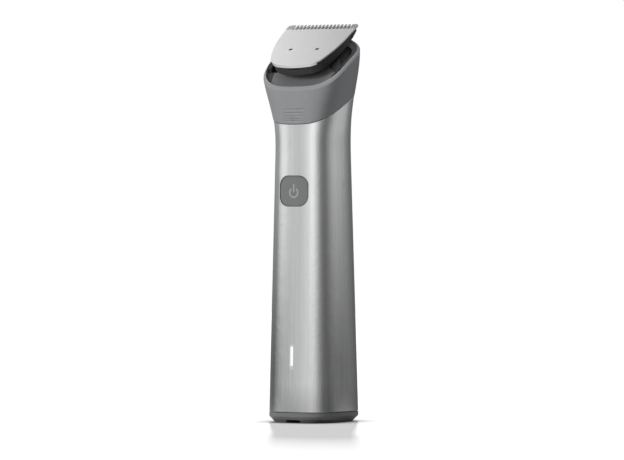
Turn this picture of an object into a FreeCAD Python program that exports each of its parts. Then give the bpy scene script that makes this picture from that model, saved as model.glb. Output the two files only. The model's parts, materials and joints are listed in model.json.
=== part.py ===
import FreeCAD, Part
import math
import os

# A cordless beard trimmer that stands on its base cap.
# Millimetres. Z is up, the front with the power button faces -Y, X runs to the right.
# The origin is the middle of the flat face that the trimmer stands on.

os.makedirs("parts", exist_ok=True)

X_AXIS = FreeCAD.Vector(1, 0, 0)
Y_AXIS = FreeCAD.Vector(0, 1, 0)
Z_AXIS = FreeCAD.Vector(0, 0, 1)

# Outer form of the handle: half widths, and reaches from the axis to the front and the back
foot_half_width = 15.6
foot_reach = 18.3
waist_half_width = 13.1
waist_front = 16.0
waist_back = 14.9
waist_height = 112.0
flare_start = 117.0
throat_back = 10.9
throat_height = 141.0
crown_half_width = 19.6
crown_front = 16.7
crown_back = 12.3
crown_height = 149.0
level_step = 8.2
corner_power = 3.2
outline_points = 36

# Oblique cuts: the seam between sleeve and collar, and the collar's open rim
seam_height = 122.9
seam_tilt = 29.0
rim_profile = [(-18.5, 135.9), (-15.0, 138.9), (-10.5, 143.3), (-7.0, 146.3), (-2.3, 149.6),
               (1.5, 151.7), (5.3, 153.8), (7.8, 155.5), (10.2, 157.8), (13.0, 161.2)]
form_over_rim = 1.8
rim_chamfer_down = 0.9
rim_chamfer_in = 0.85
overrun = 30.0

# Clearances that several pieces share
slip_gap = 0.1
seam_gap = 0.3
running_gap = 0.03
sliding_gap = 0.05

# Base cap and the charging inlet
cap_chamfer_height = 2.6
cap_chamfer_inset = 2.3
cap_shoulder = 4.2
cap_spigot_height = 9.7
cap_floor = 2.0
cap_wall = 2.4
seal_groove_low = 6.2
seal_width = 1.5
seal_depth = 0.8
inlet_half_width = 3.3
inlet_front = 17.0
inlet_back = 9.6
inlet_radius = 0.6
socket_front = 14.3
socket_wall = 1.0
socket_depth = 7.5
socket_top_wall = 1.6
pin_radius = 0.6
pin_spacing = 3.2
pin_length = 2.6
pin_height = 15.2

# Steel sleeve and plastic chassis inside it
sleeve_wall = 0.6
chassis_wall = 1.2
chassis_bottom = 10.4
chassis_top = 113.0
chassis_split = -3.0
rib_thickness = 1.2
foot_rib_height = 16.0
cell_low_rib_height = 30.0
cell_mid_rib_height = 52.0
cell_high_rib_height = 68.0
screw_rib_height = 82.0
wire_passage_radius = 3.0
boss_radius = 2.1
boss_offset = 9.0
boss_front = -8.8
boss_back = 8.0
screw_radius = 0.9
screw_head_radius = 1.7
screw_head_height = 1.3
screw_length = 12.0
screw_access_radius = 2.0

# Battery and its contact strips
cell_radius = 7.0
cell_length = 50.0
cell_bottom = 24.0
cell_offset = 1.5
tab_half_width = 2.5
tab_thickness = 0.4

# Circuit board and what it carries
board_half_width = 8.0
board_thickness = 1.0
board_front = -10.2
board_bottom = 13.6
board_top = 101.0
switch_half_width = 2.4
switch_height = 1.5
plunger_radius = 0.8
plunger_stand = 0.5
plunger_hidden = 0.6
plunger_free_depth = 0.35
led_half_width = 0.8
led_height = 2.6
led_depth = 0.8
window_width = 1.25
window_length = 8.7
window_height = 27.2
window_sunk = 0.08
guide_length_gap = 0.1

# Power button, its seal and the symbol on it
button_height = 95.3
button_width = 13.0
button_length = 12.2
button_radius = 4.0
button_gap = 0.3
button_sunk = 0.2
button_back = -14.4
button_flange = 0.8
button_travel = 0.5
stem_radius = 1.5
stem_gap = 0.3
tray_gap = 0.2
tray_thickness = 0.9
tray_margin = 1.6
button_seal_radius = 3.2
button_seal_thickness = 0.45
icon_radius = 2.25
icon_stroke = 0.7
icon_depth = 0.2
icon_drop = 0.6
icon_bar_low = 0.2
icon_bar_high = 3.5
icon_opening = 76.0

# Collar with its thumb grooves
collar_proud = 0.12
collar_wall = 1.0
collar_ring_wall = 3.0
spigot_length = 5.0
groove_count = 5
groove_low = 124.0
groove_pitch = 0.69
groove_spread = 0.12
groove_width = 0.4
groove_depth = 0.2
groove_half_length = 5.2

# Head bay inside the collar: liner, deck and the socket for the neck
bay_bottom = 131.0
bay_floor = 1.5
liner_wall = 1.8
liner_sunk = 0.3
deck_sunk = 1.9
deck_thickness = 1.8
deck_tongue_half_width = 8.9
deck_tongue_front = -3.4
deck_corner_half_width = 13.5
deck_corner_front = -7.2
neck_half_width = 7.2
neck_half_depth = 5.6
neck_wall = 1.2
neck_bottom = 137.6
neck_gap = 0.2
neck_socket_wall = 1.3
shaft_seal_radius = 4.5
bracket_post_radius = 1.6

# Motor, rotor and the eccentric drive
motor_offset = -0.5
motor_radius = 10.2
motor_half_width = 7.7
motor_wall = 0.8
motor_bottom = 103.0
motor_top = 128.0
end_cap_height = 2.4
motor_cradle_low = 106.0
motor_cradle_high = 111.0
magnet_inner_radius = 6.5
magnet_outer_radius = 9.0
magnet_half_width = 5.6
magnet_bottom = 108.0
magnet_length = 14.0
armature_radius = 6.0
shaft_radius = 1.0
shaft_bottom = 103.8
shaft_top = 136.0
bracket_thickness = 1.2
bracket_inset = 3.4
bracket_bore = 2.8
motor_screw_offset = 6.0
motor_screw_length = 3.2
spigot_radius = 2.0
spigot_bottom = 129.8
hub_bottom = 133.1
hub_radius = 3.5
hub_top = 142.0
drive_pin_radius = 0.9
drive_pin_throw = 0.8
drive_pin_top = 153.8
lead_width = 0.8
lead_spacing = 4.0
lead_thickness = 0.4
lead_offset = -7.4
lead_bottom = 97.6

# Cutting head: places are (across, up the blade, out of the blade) from the blade's front edge
blade_front = 18.0
blade_base_height = 146.8
blade_tilt = 34.1
blade_length = 31.7
blade_crease = 27.8
blade_bulge = 0.2
blade_thickness = 0.6
blade_bevel = 0.3
chin_half = 8.3
chin_rise = 1.1
jaw_half = 10.3
jaw_rise = 2.4
cheek_half = 12.1
cheek_rise = 4.1
flank_half = 14.9
flank_rise = 12.5
brow_half = 16.4
brow_rise = 24.6
tip_half = 16.9
tip_rise = 30.2
tip_shoulder_half = 15.4
tooth_slot_count = 16
tooth_pitch = 1.77
tooth_slot_depth = 3.9
tooth_root_width = 0.7
tooth_mouth_width = 1.15
lip_width = 0.5
lip_drop = 1.3
lip_overlap = 0.3
lip_reach = 2.6
rivet_radius = 0.65
rivet_spacing = 12.7
rivet_rise = 12.1
rivet_hole_width = 1.8
rivet_hole_length = 1.4
rivet_sunk = 0.3
rivet_bottom = -3.4
shell_inset = 0.6
shell_front_depth = 5.4
shell_end_depth = 3.1
shell_tail_start = 25.3
shell_tail_depth = 2.0
shell_end = 29.2
shell_wall = 1.0
shell_floor = 0.7
cavity_start = 13.3
slot_half_width = 2.6
slot_height = 0.45
slot_depth = 0.6
slot_drop = 2.55
cutter_half = 13.6
cutter_rear_half = 11.0
cutter_rear = 21.2
cutter_shoulder = 25.0
cutter_front = 30.8
cutter_thickness = 0.5
cutter_tooth_depth = 3.4
carrier_half = 7.4
carrier_rear = 15.9
carrier_front = 24.8
carrier_thickness = 1.1
peg_radius = 0.7
peg_spacing = 9.0
peg_rise = 23.0
peg_height = 0.4
stroke = 0.8
drive_slot_half_length = 2.1
drive_leg_wall = 1.4
drive_leg_end = 1.0
drive_leg_gap = 0.3
drive_leg_bottom = 150.8
drive_slot_top = 154.3
spring_thickness = 0.3
spring_rear = 10.4
spring_base_front = 13.3
spring_front = 21.8
spring_half = 8.0
spring_arm_inner = 5.6
spring_arm_outer = 7.2

# Values that follow from the ones above
form_height = rim_profile[-1][1] + form_over_rim
chassis_inset = sleeve_wall + slip_gap
hollow_inset = chassis_inset + chassis_wall
sleeve_bottom = cap_shoulder + seam_gap
tray_front = button_back + button_travel + tray_gap
stem_end = board_front - switch_height - plunger_stand - stem_gap
switch_front = board_front - switch_height
cutter_top = -blade_thickness - sliding_gap
carrier_top = cutter_top - cutter_thickness
carrier_bottom = carrier_top - carrier_thickness
spring_top = carrier_bottom - sliding_gap
drive_slot_half_width = drive_pin_radius + drive_pin_throw + stroke + neck_gap
drive_leg_half_width = drive_slot_half_width + drive_leg_wall
drive_leg_half_length = drive_slot_half_length + drive_leg_end


def ease(height, low, high):
    """A share that rises smoothly from 0 at low to 1 at high."""
    share = min(max((height - low) / (high - low), 0), 1)
    return share * share * (3 - 2 * share)


def taper(height, at_foot, at_waist):
    """A straight taper from the foot to the waist, steady above it."""
    return at_foot + (at_waist - at_foot) * min(height / waist_height, 1)


def half_width_at(height):
    flare = (crown_half_width - waist_half_width) * ease(height, flare_start, crown_height)
    return taper(height, foot_half_width, waist_half_width) + flare


def front_at(height):
    flare = (crown_front - waist_front) * ease(height, waist_height, crown_height)
    return taper(height, foot_reach, waist_front) + flare


def back_at(height):
    throat = (throat_back - waist_back) * ease(height, flare_start, throat_height)
    crown = (crown_back - throat_back) * ease(height, throat_height, form_height)
    return taper(height, foot_reach, waist_back) + throat + crown


def section(height, inset):
    """The handle's rounded outline at one height, drawn in by the inset."""
    across = half_width_at(height) - inset
    front = front_at(height) - inset
    back = back_at(height) - inset
    deep = (front + back) / 2
    middle = (back - front) / 2
    points = []
    for step in range(outline_points):
        angle = 2 * math.pi * step / outline_points
        cosine = abs(math.cos(angle) / across) ** corner_power
        sine = abs(math.sin(angle) / deep) ** corner_power
        reach = (cosine + sine) ** (-1 / corner_power)
        points.append(FreeCAD.Vector(reach * math.cos(angle), middle + reach * math.sin(angle), height))
    curve = Part.BSplineCurve()
    steps = [step / outline_points for step in range(outline_points + 1)]
    curve.interpolate(Points=points, PeriodicFlag=True, Parameters=steps)
    return Part.Wire([curve.toShape()])


made_forms = {}


def form(inset):
    """The whole handle's form as a solid, drawn in by the inset."""
    if inset not in made_forms:
        count = round(form_height / level_step)
        levels = [form_height * step / count for step in range(-1, count + 1)]
        made_forms[inset] = Part.makeLoft([section(level, inset) for level in levels], True, False)
    return made_forms[inset]


def block(x_half, y_low, y_high, z_low, z_high):
    """A block centred across the handle."""
    corner = FreeCAD.Vector(-x_half, y_low, z_low)
    return Part.makeBox(2 * x_half, y_high - y_low, z_high - z_low, corner)


def block_at(x_middle, x_half, y_low, y_high, z_low, z_high):
    """A block centred beside the handle's middle plane."""
    made = block(x_half, y_low, y_high, z_low, z_high)
    made.translate(X_AXIS * x_middle)
    return made


def slab(low, high):
    """Everything between two heights."""
    return block(crown_half_width + overrun, -foot_reach - overrun, foot_reach + overrun, low, high)


def rounded_block(x_half, y_low, y_high, z_middle, z_half, radius):
    """A block with its four edges along Y rounded."""
    made = block(x_half, y_low, y_high, z_middle - z_half, z_middle + z_half)
    return made.makeFillet(radius, edges_along(made, Y_AXIS))


def edges_along(shape, axis):
    """The straight edges of a block that run along an axis."""
    return [edge for edge in shape.Edges if abs(edge.tangentAt(edge.FirstParameter).dot(axis)) > 0.5]


def rod(radius, x, y, low, high):
    """An upright round rod."""
    return Part.makeCylinder(radius, high - low, FreeCAD.Vector(x, y, low), Z_AXIS)


def cross_rod(radius, x, z, front, back):
    """A round rod that runs from the front to the back."""
    return Part.makeCylinder(radius, back - front, FreeCAD.Vector(x, front, z), Y_AXIS)


def above_seam(lift):
    """Everything above the oblique seam plane, moved up by the lift."""
    made = block(crown_half_width + overrun, -overrun, foot_reach + crown_back + overrun, 0, form_height)
    made.rotate(FreeCAD.Vector(0, 0, 0), X_AXIS, seam_tilt)
    made.translate(FreeCAD.Vector(0, -front_at(seam_height), seam_height + lift))
    return made


def above_rim(drop):
    """Everything above the collar's swept rim, moved down by the drop."""
    points = [FreeCAD.Vector(0, y, z - drop) for y, z in rim_profile]
    curve = Part.BSplineCurve()
    curve.interpolate(Points=points)
    front = points[0] - Y_AXIS * overrun
    back = points[-1] + Y_AXIS * overrun
    corners = [points[-1], back, back + Z_AXIS * overrun * 2, front + Z_AXIS * overrun * 2, front, points[0]]
    edges = [curve.toShape()] + [line(first, last) for first, last in zip(corners, corners[1:])]
    face = Part.Face(Part.Wire(edges))
    reach = crown_half_width + overrun
    face.translate(X_AXIS * -reach)
    return face.extrude(X_AXIS * (2 * reach))


def upright_tube(x_half, y_half, low, high):
    """A square prism around the motor's axis."""
    return block(x_half, motor_offset - y_half, motor_offset + y_half, low, high)


def fuse_all(shapes):
    """One solid from several that meet."""
    return shapes[0].multiFuse(shapes[1:]).removeSplitter()


# Handle: sleeve, collar and base

def steel_sleeve():
    shell = form(0).cut(form(sleeve_wall))
    shell = shell.common(slab(sleeve_bottom, form_height))
    shell = shell.cut(above_seam(-seam_gap))
    gap = button_gap
    opening = rounded_block(button_width / 2 + gap, -foot_reach - overrun, 0, button_height,
                            button_length / 2 + gap, button_radius + gap)
    slit = rounded_block(window_width / 2, -foot_reach - overrun, 0, window_height,
                         window_length / 2, window_width / 2 - slip_gap)
    return shell.cut(opening).cut(slit)


def thumb_grooves():
    grooves = []
    for step in range(groove_count):
        height = groove_low + step * groove_pitch + step ** 2 * groove_spread
        depth = front_at(height) + collar_proud - groove_depth
        top = height + groove_width
        grooves.append(block(groove_half_length, -foot_reach - overrun, -depth, height, top))
    return grooves


def outer_rim_edge(body):
    """The long outer edge where the collar's side meets its rim."""
    rim = above_rim(0)
    on_rim = []
    for edge in body.Edges:
        middle = edge.valueAt((edge.FirstParameter + edge.LastParameter) / 2)
        if rim.distToShape(Part.Vertex(middle))[0] < Part.Precision.confusion():
            on_rim.append(edge)
    return max(on_rim, key=lambda edge: edge.Length)


def collar():
    ring = form(-collar_proud).common(above_seam(0))
    spigot = form(chassis_inset).common(above_seam(-spigot_length))
    body = ring.fuse(spigot)
    body = body.cut(form(hollow_inset).cut(above_seam(0)))
    body = body.cut(form(collar_ring_wall).common(slab(waist_height, bay_bottom)))
    body = body.cut(form(collar_wall).common(slab(bay_bottom, form_height)))
    body = body.cut(above_rim(0))
    body = body.makeChamfer(rim_chamfer_down, rim_chamfer_in, [outer_rim_edge(body)])
    return body.cut(thumb_grooves())


def base_cap():
    lean = cap_chamfer_inset / cap_chamfer_height
    top_inset = lean * (cap_chamfer_height - cap_shoulder)
    chamfer = Part.makeLoft([section(0, cap_chamfer_inset), section(cap_shoulder, top_inset)], True, True)
    foot = form(0).common(slab(0, cap_shoulder)).common(chamfer)
    spigot = form(chassis_inset).common(slab(cap_floor, cap_spigot_height))
    body = foot.fuse(spigot)
    body = body.cut(form(cap_wall).common(slab(cap_floor, cap_spigot_height)))
    groove = form(0).cut(form(chassis_inset + seal_depth))
    groove = groove.common(slab(seal_groove_low, seal_groove_low + seal_width + slip_gap))
    body = body.cut(groove)
    inlet = block(inlet_half_width, -inlet_front, -inlet_back, -overrun, cap_floor + overrun)
    inlet = inlet.makeFillet(inlet_radius, edges_along(inlet, Z_AXIS)).common(slab(-overrun, cap_floor))
    return body.cut(inlet)


def base_seal():
    ring = form(sleeve_wall + sliding_gap).cut(form(chassis_inset + seal_depth - sliding_gap))
    low = seal_groove_low + sliding_gap
    return ring.common(slab(low, low + seal_width))


def charge_socket():
    top = cap_floor + socket_depth
    wall = socket_wall
    body = block(inlet_half_width + wall, -socket_front - wall, -inlet_back + wall, cap_floor,
                 top + socket_top_wall)
    body = body.cut(block(inlet_half_width, -socket_front, -inlet_back, cap_floor, top))
    for pin in pin_rods(running_gap):
        body = body.cut(pin)
    return body


def pin_rods(gap):
    """The two contact pins, grown by a gap."""
    low = cap_floor + socket_depth - pin_length
    depth = board_front - pin_radius - sliding_gap
    return [rod(pin_radius + gap, side * pin_spacing / 2, depth, low, pin_height) for side in (-1, 1)]


def charge_pins():
    return Part.makeCompound(pin_rods(0))


# Chassis: two half shells with ribs that hold the battery, board and motor

def motor_outline(gap, low, high):
    """The motor's round shape with two flats, grown by a gap."""
    flats = block(motor_half_width + gap, -foot_reach, foot_reach, low, high)
    return rod(motor_radius + gap, 0, motor_offset, low, high).common(flats)


def screw_places():
    heights = (foot_rib_height, screw_rib_height)
    return [(side * boss_offset, height) for side in (-1, 1) for height in heights]


def chassis_ribs():
    heights = [foot_rib_height, cell_low_rib_height, cell_mid_rib_height, cell_high_rib_height,
               screw_rib_height, motor_cradle_low, motor_cradle_high]
    return [slab(height - rib_thickness / 2, height + rib_thickness / 2) for height in heights]


def chassis():
    """Both half shells as one, before they are parted."""
    body = form(chassis_inset).common(slab(chassis_bottom, chassis_top))
    rooms = form(hollow_inset).cut(chassis_ribs())
    body = body.cut(rooms)
    body = body.fuse([cross_rod(boss_radius, x, z, boss_front, boss_back) for x, z in screw_places()])
    gap = sliding_gap
    tools = [
        rod(cell_radius + slip_gap, 0, cell_offset, cell_bottom - tab_thickness - slip_gap,
            cell_bottom + cell_length + tab_thickness + slip_gap),
        rod(wire_passage_radius, 0, cell_offset, chassis_bottom, chassis_top),
        motor_outline(slip_gap, motor_bottom - slip_gap, chassis_top + overrun),
        block(board_half_width + gap, board_front - gap, board_front + board_thickness + gap,
              chassis_bottom - overrun, board_top + gap),
        block(pin_spacing, stem_end, board_front, chassis_bottom - overrun, foot_rib_height + rib_thickness),
    ]
    for x, z in screw_places():
        tip = boss_back - screw_length - slip_gap
        tools.append(cross_rod(screw_access_radius, x, z, boss_back, foot_reach + overrun))
        tools.append(cross_rod(screw_radius + running_gap, x, z, tip, boss_back))
    for tool in tools + lead_strips(slip_gap) + tab_strips(slip_gap):
        body = body.cut(tool)
    return body


made_chassis = []


def chassis_once():
    if not made_chassis:
        made_chassis.append(chassis())
    return made_chassis[0]


def chassis_rear():
    rear = block(crown_half_width, chassis_split + sliding_gap, foot_reach + overrun, 0, form_height)
    return largest(chassis_once().common(rear))


def chassis_front():
    front = block(crown_half_width, -foot_reach - overrun, chassis_split, 0, form_height)
    body = chassis_once().common(front)
    gap = button_gap + button_flange
    well = rounded_block(button_width / 2 + gap, -foot_reach - overrun, board_front, button_height,
                         button_length / 2 + gap, button_radius + gap)
    body = body.cut(well)
    margin = gap + tray_margin
    tray = block(button_width / 2 + margin, tray_front, tray_front + tray_thickness,
                 button_height - button_length / 2 - margin, button_height + button_length / 2 + margin)
    tray = tray.common(form(chassis_inset + chassis_wall / 2))
    walls = rounded_block(button_width / 2 + margin, -foot_reach - overrun, tray_front + tray_thickness,
                          button_height, button_length / 2 + margin, button_radius + margin)
    walls = walls.cut(well).common(form(chassis_inset))
    tray = tray.cut(cross_rod(stem_radius + slip_gap, 0, button_height, -foot_reach, board_front))
    tray = tray.cut(cross_rod(button_seal_radius + slip_gap, 0, button_height, -foot_reach,
                              tray_front + button_seal_thickness))
    body = fuse_all([body, walls, tray])
    slit = block(window_width / 2 - slip_gap + sliding_gap, -foot_reach - overrun, board_front,
                 window_height - window_length / 2 + slip_gap - sliding_gap,
                 window_height + window_length / 2 - slip_gap + sliding_gap)
    return largest(body.cut(slit))


def largest(shape):
    """The largest solid of a shape, without loose crumbs that a parting plane leaves."""
    return max(shape.Solids, key=lambda solid: solid.Volume)


def chassis_screws():
    screws = []
    for x, z in screw_places():
        head = cross_rod(screw_head_radius, x, z, boss_back, boss_back + screw_head_height)
        shank = cross_rod(screw_radius, x, z, boss_back - screw_length, boss_back)
        screws.append(head.fuse(shank).removeSplitter())
    return Part.makeCompound(screws)


# Battery, board, switch and light

def battery_cell():
    return rod(cell_radius, 0, cell_offset, cell_bottom, cell_bottom + cell_length)


def tab_strips(gap):
    """The contact strips from both ends of the cell to the board, grown by a gap."""
    strips = []
    back = board_front + board_thickness
    for low in (cell_bottom - tab_thickness, cell_bottom + cell_length):
        strips.append(block(tab_half_width + gap, back, cell_offset + tab_half_width + gap,
                            low - gap, low + tab_thickness + gap))
    return strips


def battery_tabs():
    return Part.makeCompound(tab_strips(0))


def circuit_board():
    return block(board_half_width, board_front, board_front + board_thickness, board_bottom, board_top)


def tact_switch():
    body = block(switch_half_width, switch_front, board_front, button_height - switch_half_width,
                 button_height + switch_half_width)
    depth = switch_front + plunger_hidden + plunger_free_depth
    return body.cut(cross_rod(plunger_radius + running_gap, 0, button_height, switch_front, depth))


def switch_plunger():
    front = switch_front - plunger_stand
    return cross_rod(plunger_radius, 0, button_height, front, switch_front + plunger_hidden)


def status_led():
    return block(led_half_width, board_front - led_depth, board_front, window_height - led_height / 2,
                 window_height + led_height / 2)


def light_guide():
    back = board_front - led_depth - guide_length_gap
    bar = rounded_block(window_width / 2 - slip_gap, -foot_reach - overrun, back, window_height,
                        window_length / 2 - slip_gap, window_width / 2 - 2 * slip_gap)
    return bar.common(form(window_sunk))


# Power button

def power_button():
    cap = rounded_block(button_width / 2, -foot_reach - overrun, button_back, button_height,
                        button_length / 2, button_radius)
    cap = cap.common(form(button_sunk))
    reach = button_flange
    rim = rounded_block(button_width / 2 + reach, -foot_reach - overrun, button_back, button_height,
                        button_length / 2 + reach, button_radius + reach)
    rim = rim.common(form(sleeve_wall + slip_gap + sliding_gap))
    stem = cross_rod(stem_radius, 0, button_height, button_back, stem_end)
    return fuse_all([cap, rim, stem]).cut(icon_prism().cut(form(button_sunk + icon_depth)))


def icon_prism():
    """The open ring and the bar of the power symbol, as a prism through the button's face."""
    height = button_height - icon_drop
    front = -foot_reach - overrun
    ring = cross_rod(icon_radius, 0, height, front, button_back)
    ring = ring.cut(cross_rod(icon_radius - icon_stroke, 0, height, front, button_back))
    reach = icon_radius * 2
    half = reach * math.tan(math.radians(icon_opening / 2))
    corners = [(0, 0), (half, reach), (-half, reach), (0, 0)]
    wedge = Part.makePolygon([FreeCAD.Vector(x, front, height + z) for x, z in corners])
    ring = ring.cut(Part.Face(wedge).extrude(Y_AXIS * (button_back - front)))
    bar = block(icon_stroke / 2, front, button_back, height + icon_bar_low, height + icon_bar_high)
    return Part.makeCompound([ring, bar])


def power_icon():
    face = form(button_sunk).cut(form(button_sunk + icon_depth))
    solids = []
    for part in icon_prism().Solids:
        solids.extend(part.common(face).Solids)
    return Part.makeCompound([solid for solid in solids if solid.CenterOfMass.y < button_back])


def button_seal():
    ring = cross_rod(button_seal_radius, 0, button_height, tray_front + running_gap,
                     tray_front + button_seal_thickness)
    return ring.cut(cross_rod(stem_radius + running_gap, 0, button_height, -foot_reach, 0))


# Motor and drive

def motor_can():
    low = motor_bottom + end_cap_height
    body = motor_outline(0, low, motor_top)
    body = body.cut(motor_outline(-motor_wall, low, motor_top - motor_wall))
    body = body.cut(rod(shaft_radius + running_gap, 0, motor_offset, low, motor_top))
    for y in (-motor_screw_offset, motor_screw_offset):
        body = body.cut(rod(screw_radius + running_gap, 0, motor_offset + y, low, motor_top))
    return body


def motor_end_cap():
    body = motor_outline(0, motor_bottom, motor_bottom + end_cap_height)
    return body.cut(rod(shaft_radius + running_gap, 0, motor_offset, shaft_bottom - running_gap,
                        motor_bottom + end_cap_height))


def motor_magnets():
    high = magnet_bottom + magnet_length
    ring = rod(magnet_outer_radius, 0, motor_offset, magnet_bottom, high)
    ring = ring.cut(rod(magnet_inner_radius, 0, motor_offset, magnet_bottom, high))
    ring = ring.common(block(magnet_half_width, -foot_reach, foot_reach, magnet_bottom, high))
    seats = motor_outline(-motor_wall - running_gap, magnet_bottom, high)
    return Part.makeCompound(ring.common(seats).Solids)


def motor_armature():
    body = rod(armature_radius, 0, motor_offset, magnet_bottom, magnet_bottom + magnet_length)
    return body.cut(rod(shaft_radius, 0, motor_offset, magnet_bottom, magnet_bottom + magnet_length))


def motor_shaft():
    return rod(shaft_radius, 0, motor_offset, shaft_bottom, shaft_top)


def eccentric_drive():
    spigot = rod(spigot_radius, 0, motor_offset, spigot_bottom, hub_bottom)
    hub = rod(hub_radius, 0, motor_offset, hub_bottom, hub_top)
    pin = rod(drive_pin_radius, 0, motor_offset + drive_pin_throw, hub_top, drive_pin_top)
    body = fuse_all([spigot, hub, pin])
    return body.cut(rod(shaft_radius, 0, motor_offset, spigot_bottom, shaft_top))


def motor_bracket():
    high = motor_top + bracket_thickness
    plate = form(bracket_inset).common(slab(motor_top, high))
    plate = plate.cut(rod(bracket_bore, 0, motor_offset, motor_top, high))
    for y in (-motor_screw_offset, motor_screw_offset):
        plate = plate.cut(rod(screw_radius + running_gap, 0, motor_offset + y, motor_top, high))
    return plate


def motor_screws():
    seat = motor_top + bracket_thickness
    screws = []
    for y in (-motor_screw_offset, motor_screw_offset):
        head = rod(screw_head_radius, 0, motor_offset + y, seat, seat + screw_head_height)
        shank = rod(screw_radius, 0, motor_offset + y, seat - motor_screw_length, seat)
        screws.append(head.fuse(shank).removeSplitter())
    return Part.makeCompound(screws)


def lead_strips(gap):
    """The two strips from the motor's end cap to the board, grown by a gap."""
    strips = []
    for side in (-1, 1):
        x = side * lead_spacing
        upright = block_at(x, lead_width + gap, lead_offset - gap, lead_offset + lead_thickness + gap,
                           lead_bottom, motor_bottom)
        board_back = board_front + board_thickness
        foot = block_at(x, lead_width + gap, board_back, lead_offset + lead_thickness + gap,
                        lead_bottom - gap, lead_bottom + lead_thickness + gap)
        strips.append(upright.fuse(foot).removeSplitter())
    return strips


def motor_leads():
    return Part.makeCompound(lead_strips(0))


# Head bay

def deck_outline():
    """The deck seen from above: a broad front ledge and a tongue under the head."""
    right = [
        (crown_half_width + overrun, -crown_front - overrun),
        (crown_half_width + overrun, deck_corner_front),
        (deck_corner_half_width, deck_corner_front),
        (deck_tongue_half_width, deck_tongue_front),
        (deck_tongue_half_width, motor_offset + neck_half_depth + neck_gap + neck_socket_wall),
    ]
    points = right + [(-x, y) for x, y in reversed(right)]
    points.append(points[0])
    wire = Part.makePolygon([FreeCAD.Vector(x, y, bay_bottom) for x, y in points])
    return Part.Face(wire).extrude(Z_AXIS * (form_height - bay_bottom))


def neck_hole():
    low = bay_bottom + bay_floor
    return upright_tube(neck_half_width + neck_gap, neck_half_depth + neck_gap, low, form_height)


def head_deck():
    plate = form(collar_wall + slip_gap).common(deck_outline())
    plate = plate.cut(above_rim(deck_sunk))
    lower = form(collar_wall - slip_gap).cut(above_rim(deck_sunk + deck_thickness))
    return largest(plate.cut(lower).cut(neck_hole()))


def bay_liner():
    cup = form(collar_wall + slip_gap).common(slab(bay_bottom, form_height))
    cup = cup.cut(form(collar_wall + slip_gap + liner_wall).common(slab(bay_bottom + bay_floor, form_height)))
    cup = cup.cut(above_rim(liner_sunk))
    socket = upright_tube(neck_half_width + neck_gap + neck_socket_wall,
                          neck_half_depth + neck_gap + neck_socket_wall, bay_bottom, form_height)
    socket = socket.common(form(collar_wall + slip_gap)).cut(above_rim(deck_sunk + deck_thickness))
    seat = motor_top + bracket_thickness
    offsets = (-motor_screw_offset, motor_screw_offset)
    posts = [rod(bracket_post_radius, x, motor_offset + y, seat, bay_bottom + bay_floor)
             for x in offsets for y in offsets]
    body = fuse_all([cup, socket] + posts).cut(neck_hole())
    under_deck = form(-collar_proud).common(deck_outline())
    under_deck = under_deck.common(above_rim(deck_sunk + deck_thickness))
    body = body.cut(under_deck)
    return largest(body.cut(rod(shaft_seal_radius + running_gap, 0, motor_offset, bay_bottom,
                                bay_bottom + bay_floor)))


def shaft_seal():
    ring = rod(shaft_seal_radius, 0, motor_offset, bay_bottom, bay_bottom + bay_floor)
    return ring.cut(rod(spigot_radius + running_gap, 0, motor_offset, bay_bottom, bay_bottom + bay_floor))


# Cutting head, drawn flat and then tilted onto its place

def on_blade(shape):
    """Moves a shape from the blade's own frame to its place on the trimmer."""
    placed = shape.copy()
    base = FreeCAD.Vector(0, -blade_front, blade_base_height)
    turn = FreeCAD.Placement(base, FreeCAD.Rotation(X_AXIS, blade_tilt))
    placed.Placement = turn.multiply(placed.Placement)
    return placed


def off_blade(shape):
    """Moves an upright shape from the trimmer into the blade's own frame."""
    base = FreeCAD.Vector(0, -blade_front, blade_base_height)
    turn = FreeCAD.Placement(base, FreeCAD.Rotation(X_AXIS, blade_tilt)).inverse()
    placed = shape.copy()
    placed.Placement = turn.multiply(placed.Placement)
    return placed


def arc(first, middle, last):
    return Part.Arc(first, middle, last).toShape()


def line(first, last):
    return Part.LineSegment(first, last).toShape()


def blade_outline(inset, low, high):
    """The blade's shield outline, drawn in by the inset, as a prism."""
    def at(half, rise, side):
        return FreeCAD.Vector(side * (half - inset), rise + inset, low)
    top = blade_length
    chin = FreeCAD.Vector(0, inset, low)
    edges = [arc(at(chin_half, chin_rise, -1), chin, at(chin_half, chin_rise, 1))]
    for side in (1, -1):
        brow = FreeCAD.Vector(side * (brow_half - inset), brow_rise, low)
        tip = FreeCAD.Vector(side * (tip_half - inset), tip_rise, low)
        shoulder = FreeCAD.Vector(side * (tip_shoulder_half - inset), top, low)
        bend = FreeCAD.Vector(side * ((tip_half + tip_half + tip_shoulder_half) / 3 - inset),
                              (top + top + tip_rise) / 3, low)
        edges.append(arc(at(chin_half, chin_rise, side), at(jaw_half, jaw_rise, side),
                         at(cheek_half, cheek_rise, side)))
        flank = FreeCAD.Vector(side * (flank_half - inset), flank_rise, low)
        edges.append(arc(at(cheek_half, cheek_rise, side), flank, brow))
        edges.append(line(brow, tip))
        edges.append(arc(tip, bend, shoulder))
    edges.append(line(FreeCAD.Vector(tip_shoulder_half - inset, top, low),
                      FreeCAD.Vector(inset - tip_shoulder_half, top, low)))
    wire = Part.Wire(Part.__sortEdges__(edges))
    return Part.Face(wire).extrude(Z_AXIS * (high - low))


def side_profile(points_and_arcs):
    """A prism across the blade from a closed run of edges seen from the side."""
    wire = Part.Wire(Part.__sortEdges__(points_and_arcs))
    reach = tip_half + overrun
    face = Part.Face(wire)
    face.translate(X_AXIS * -reach)
    return face.extrude(X_AXIS * (2 * reach))


def side_point(rise, out):
    return FreeCAD.Vector(0, rise, out)


def dome_at(rise):
    """How far the blade's dome stands out of its chord at one rise."""
    radius = (blade_crease ** 2 / 4 + blade_bulge ** 2) / (2 * blade_bulge)
    return blade_bulge - radius + math.sqrt(radius ** 2 - (rise - blade_crease / 2) ** 2)


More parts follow.
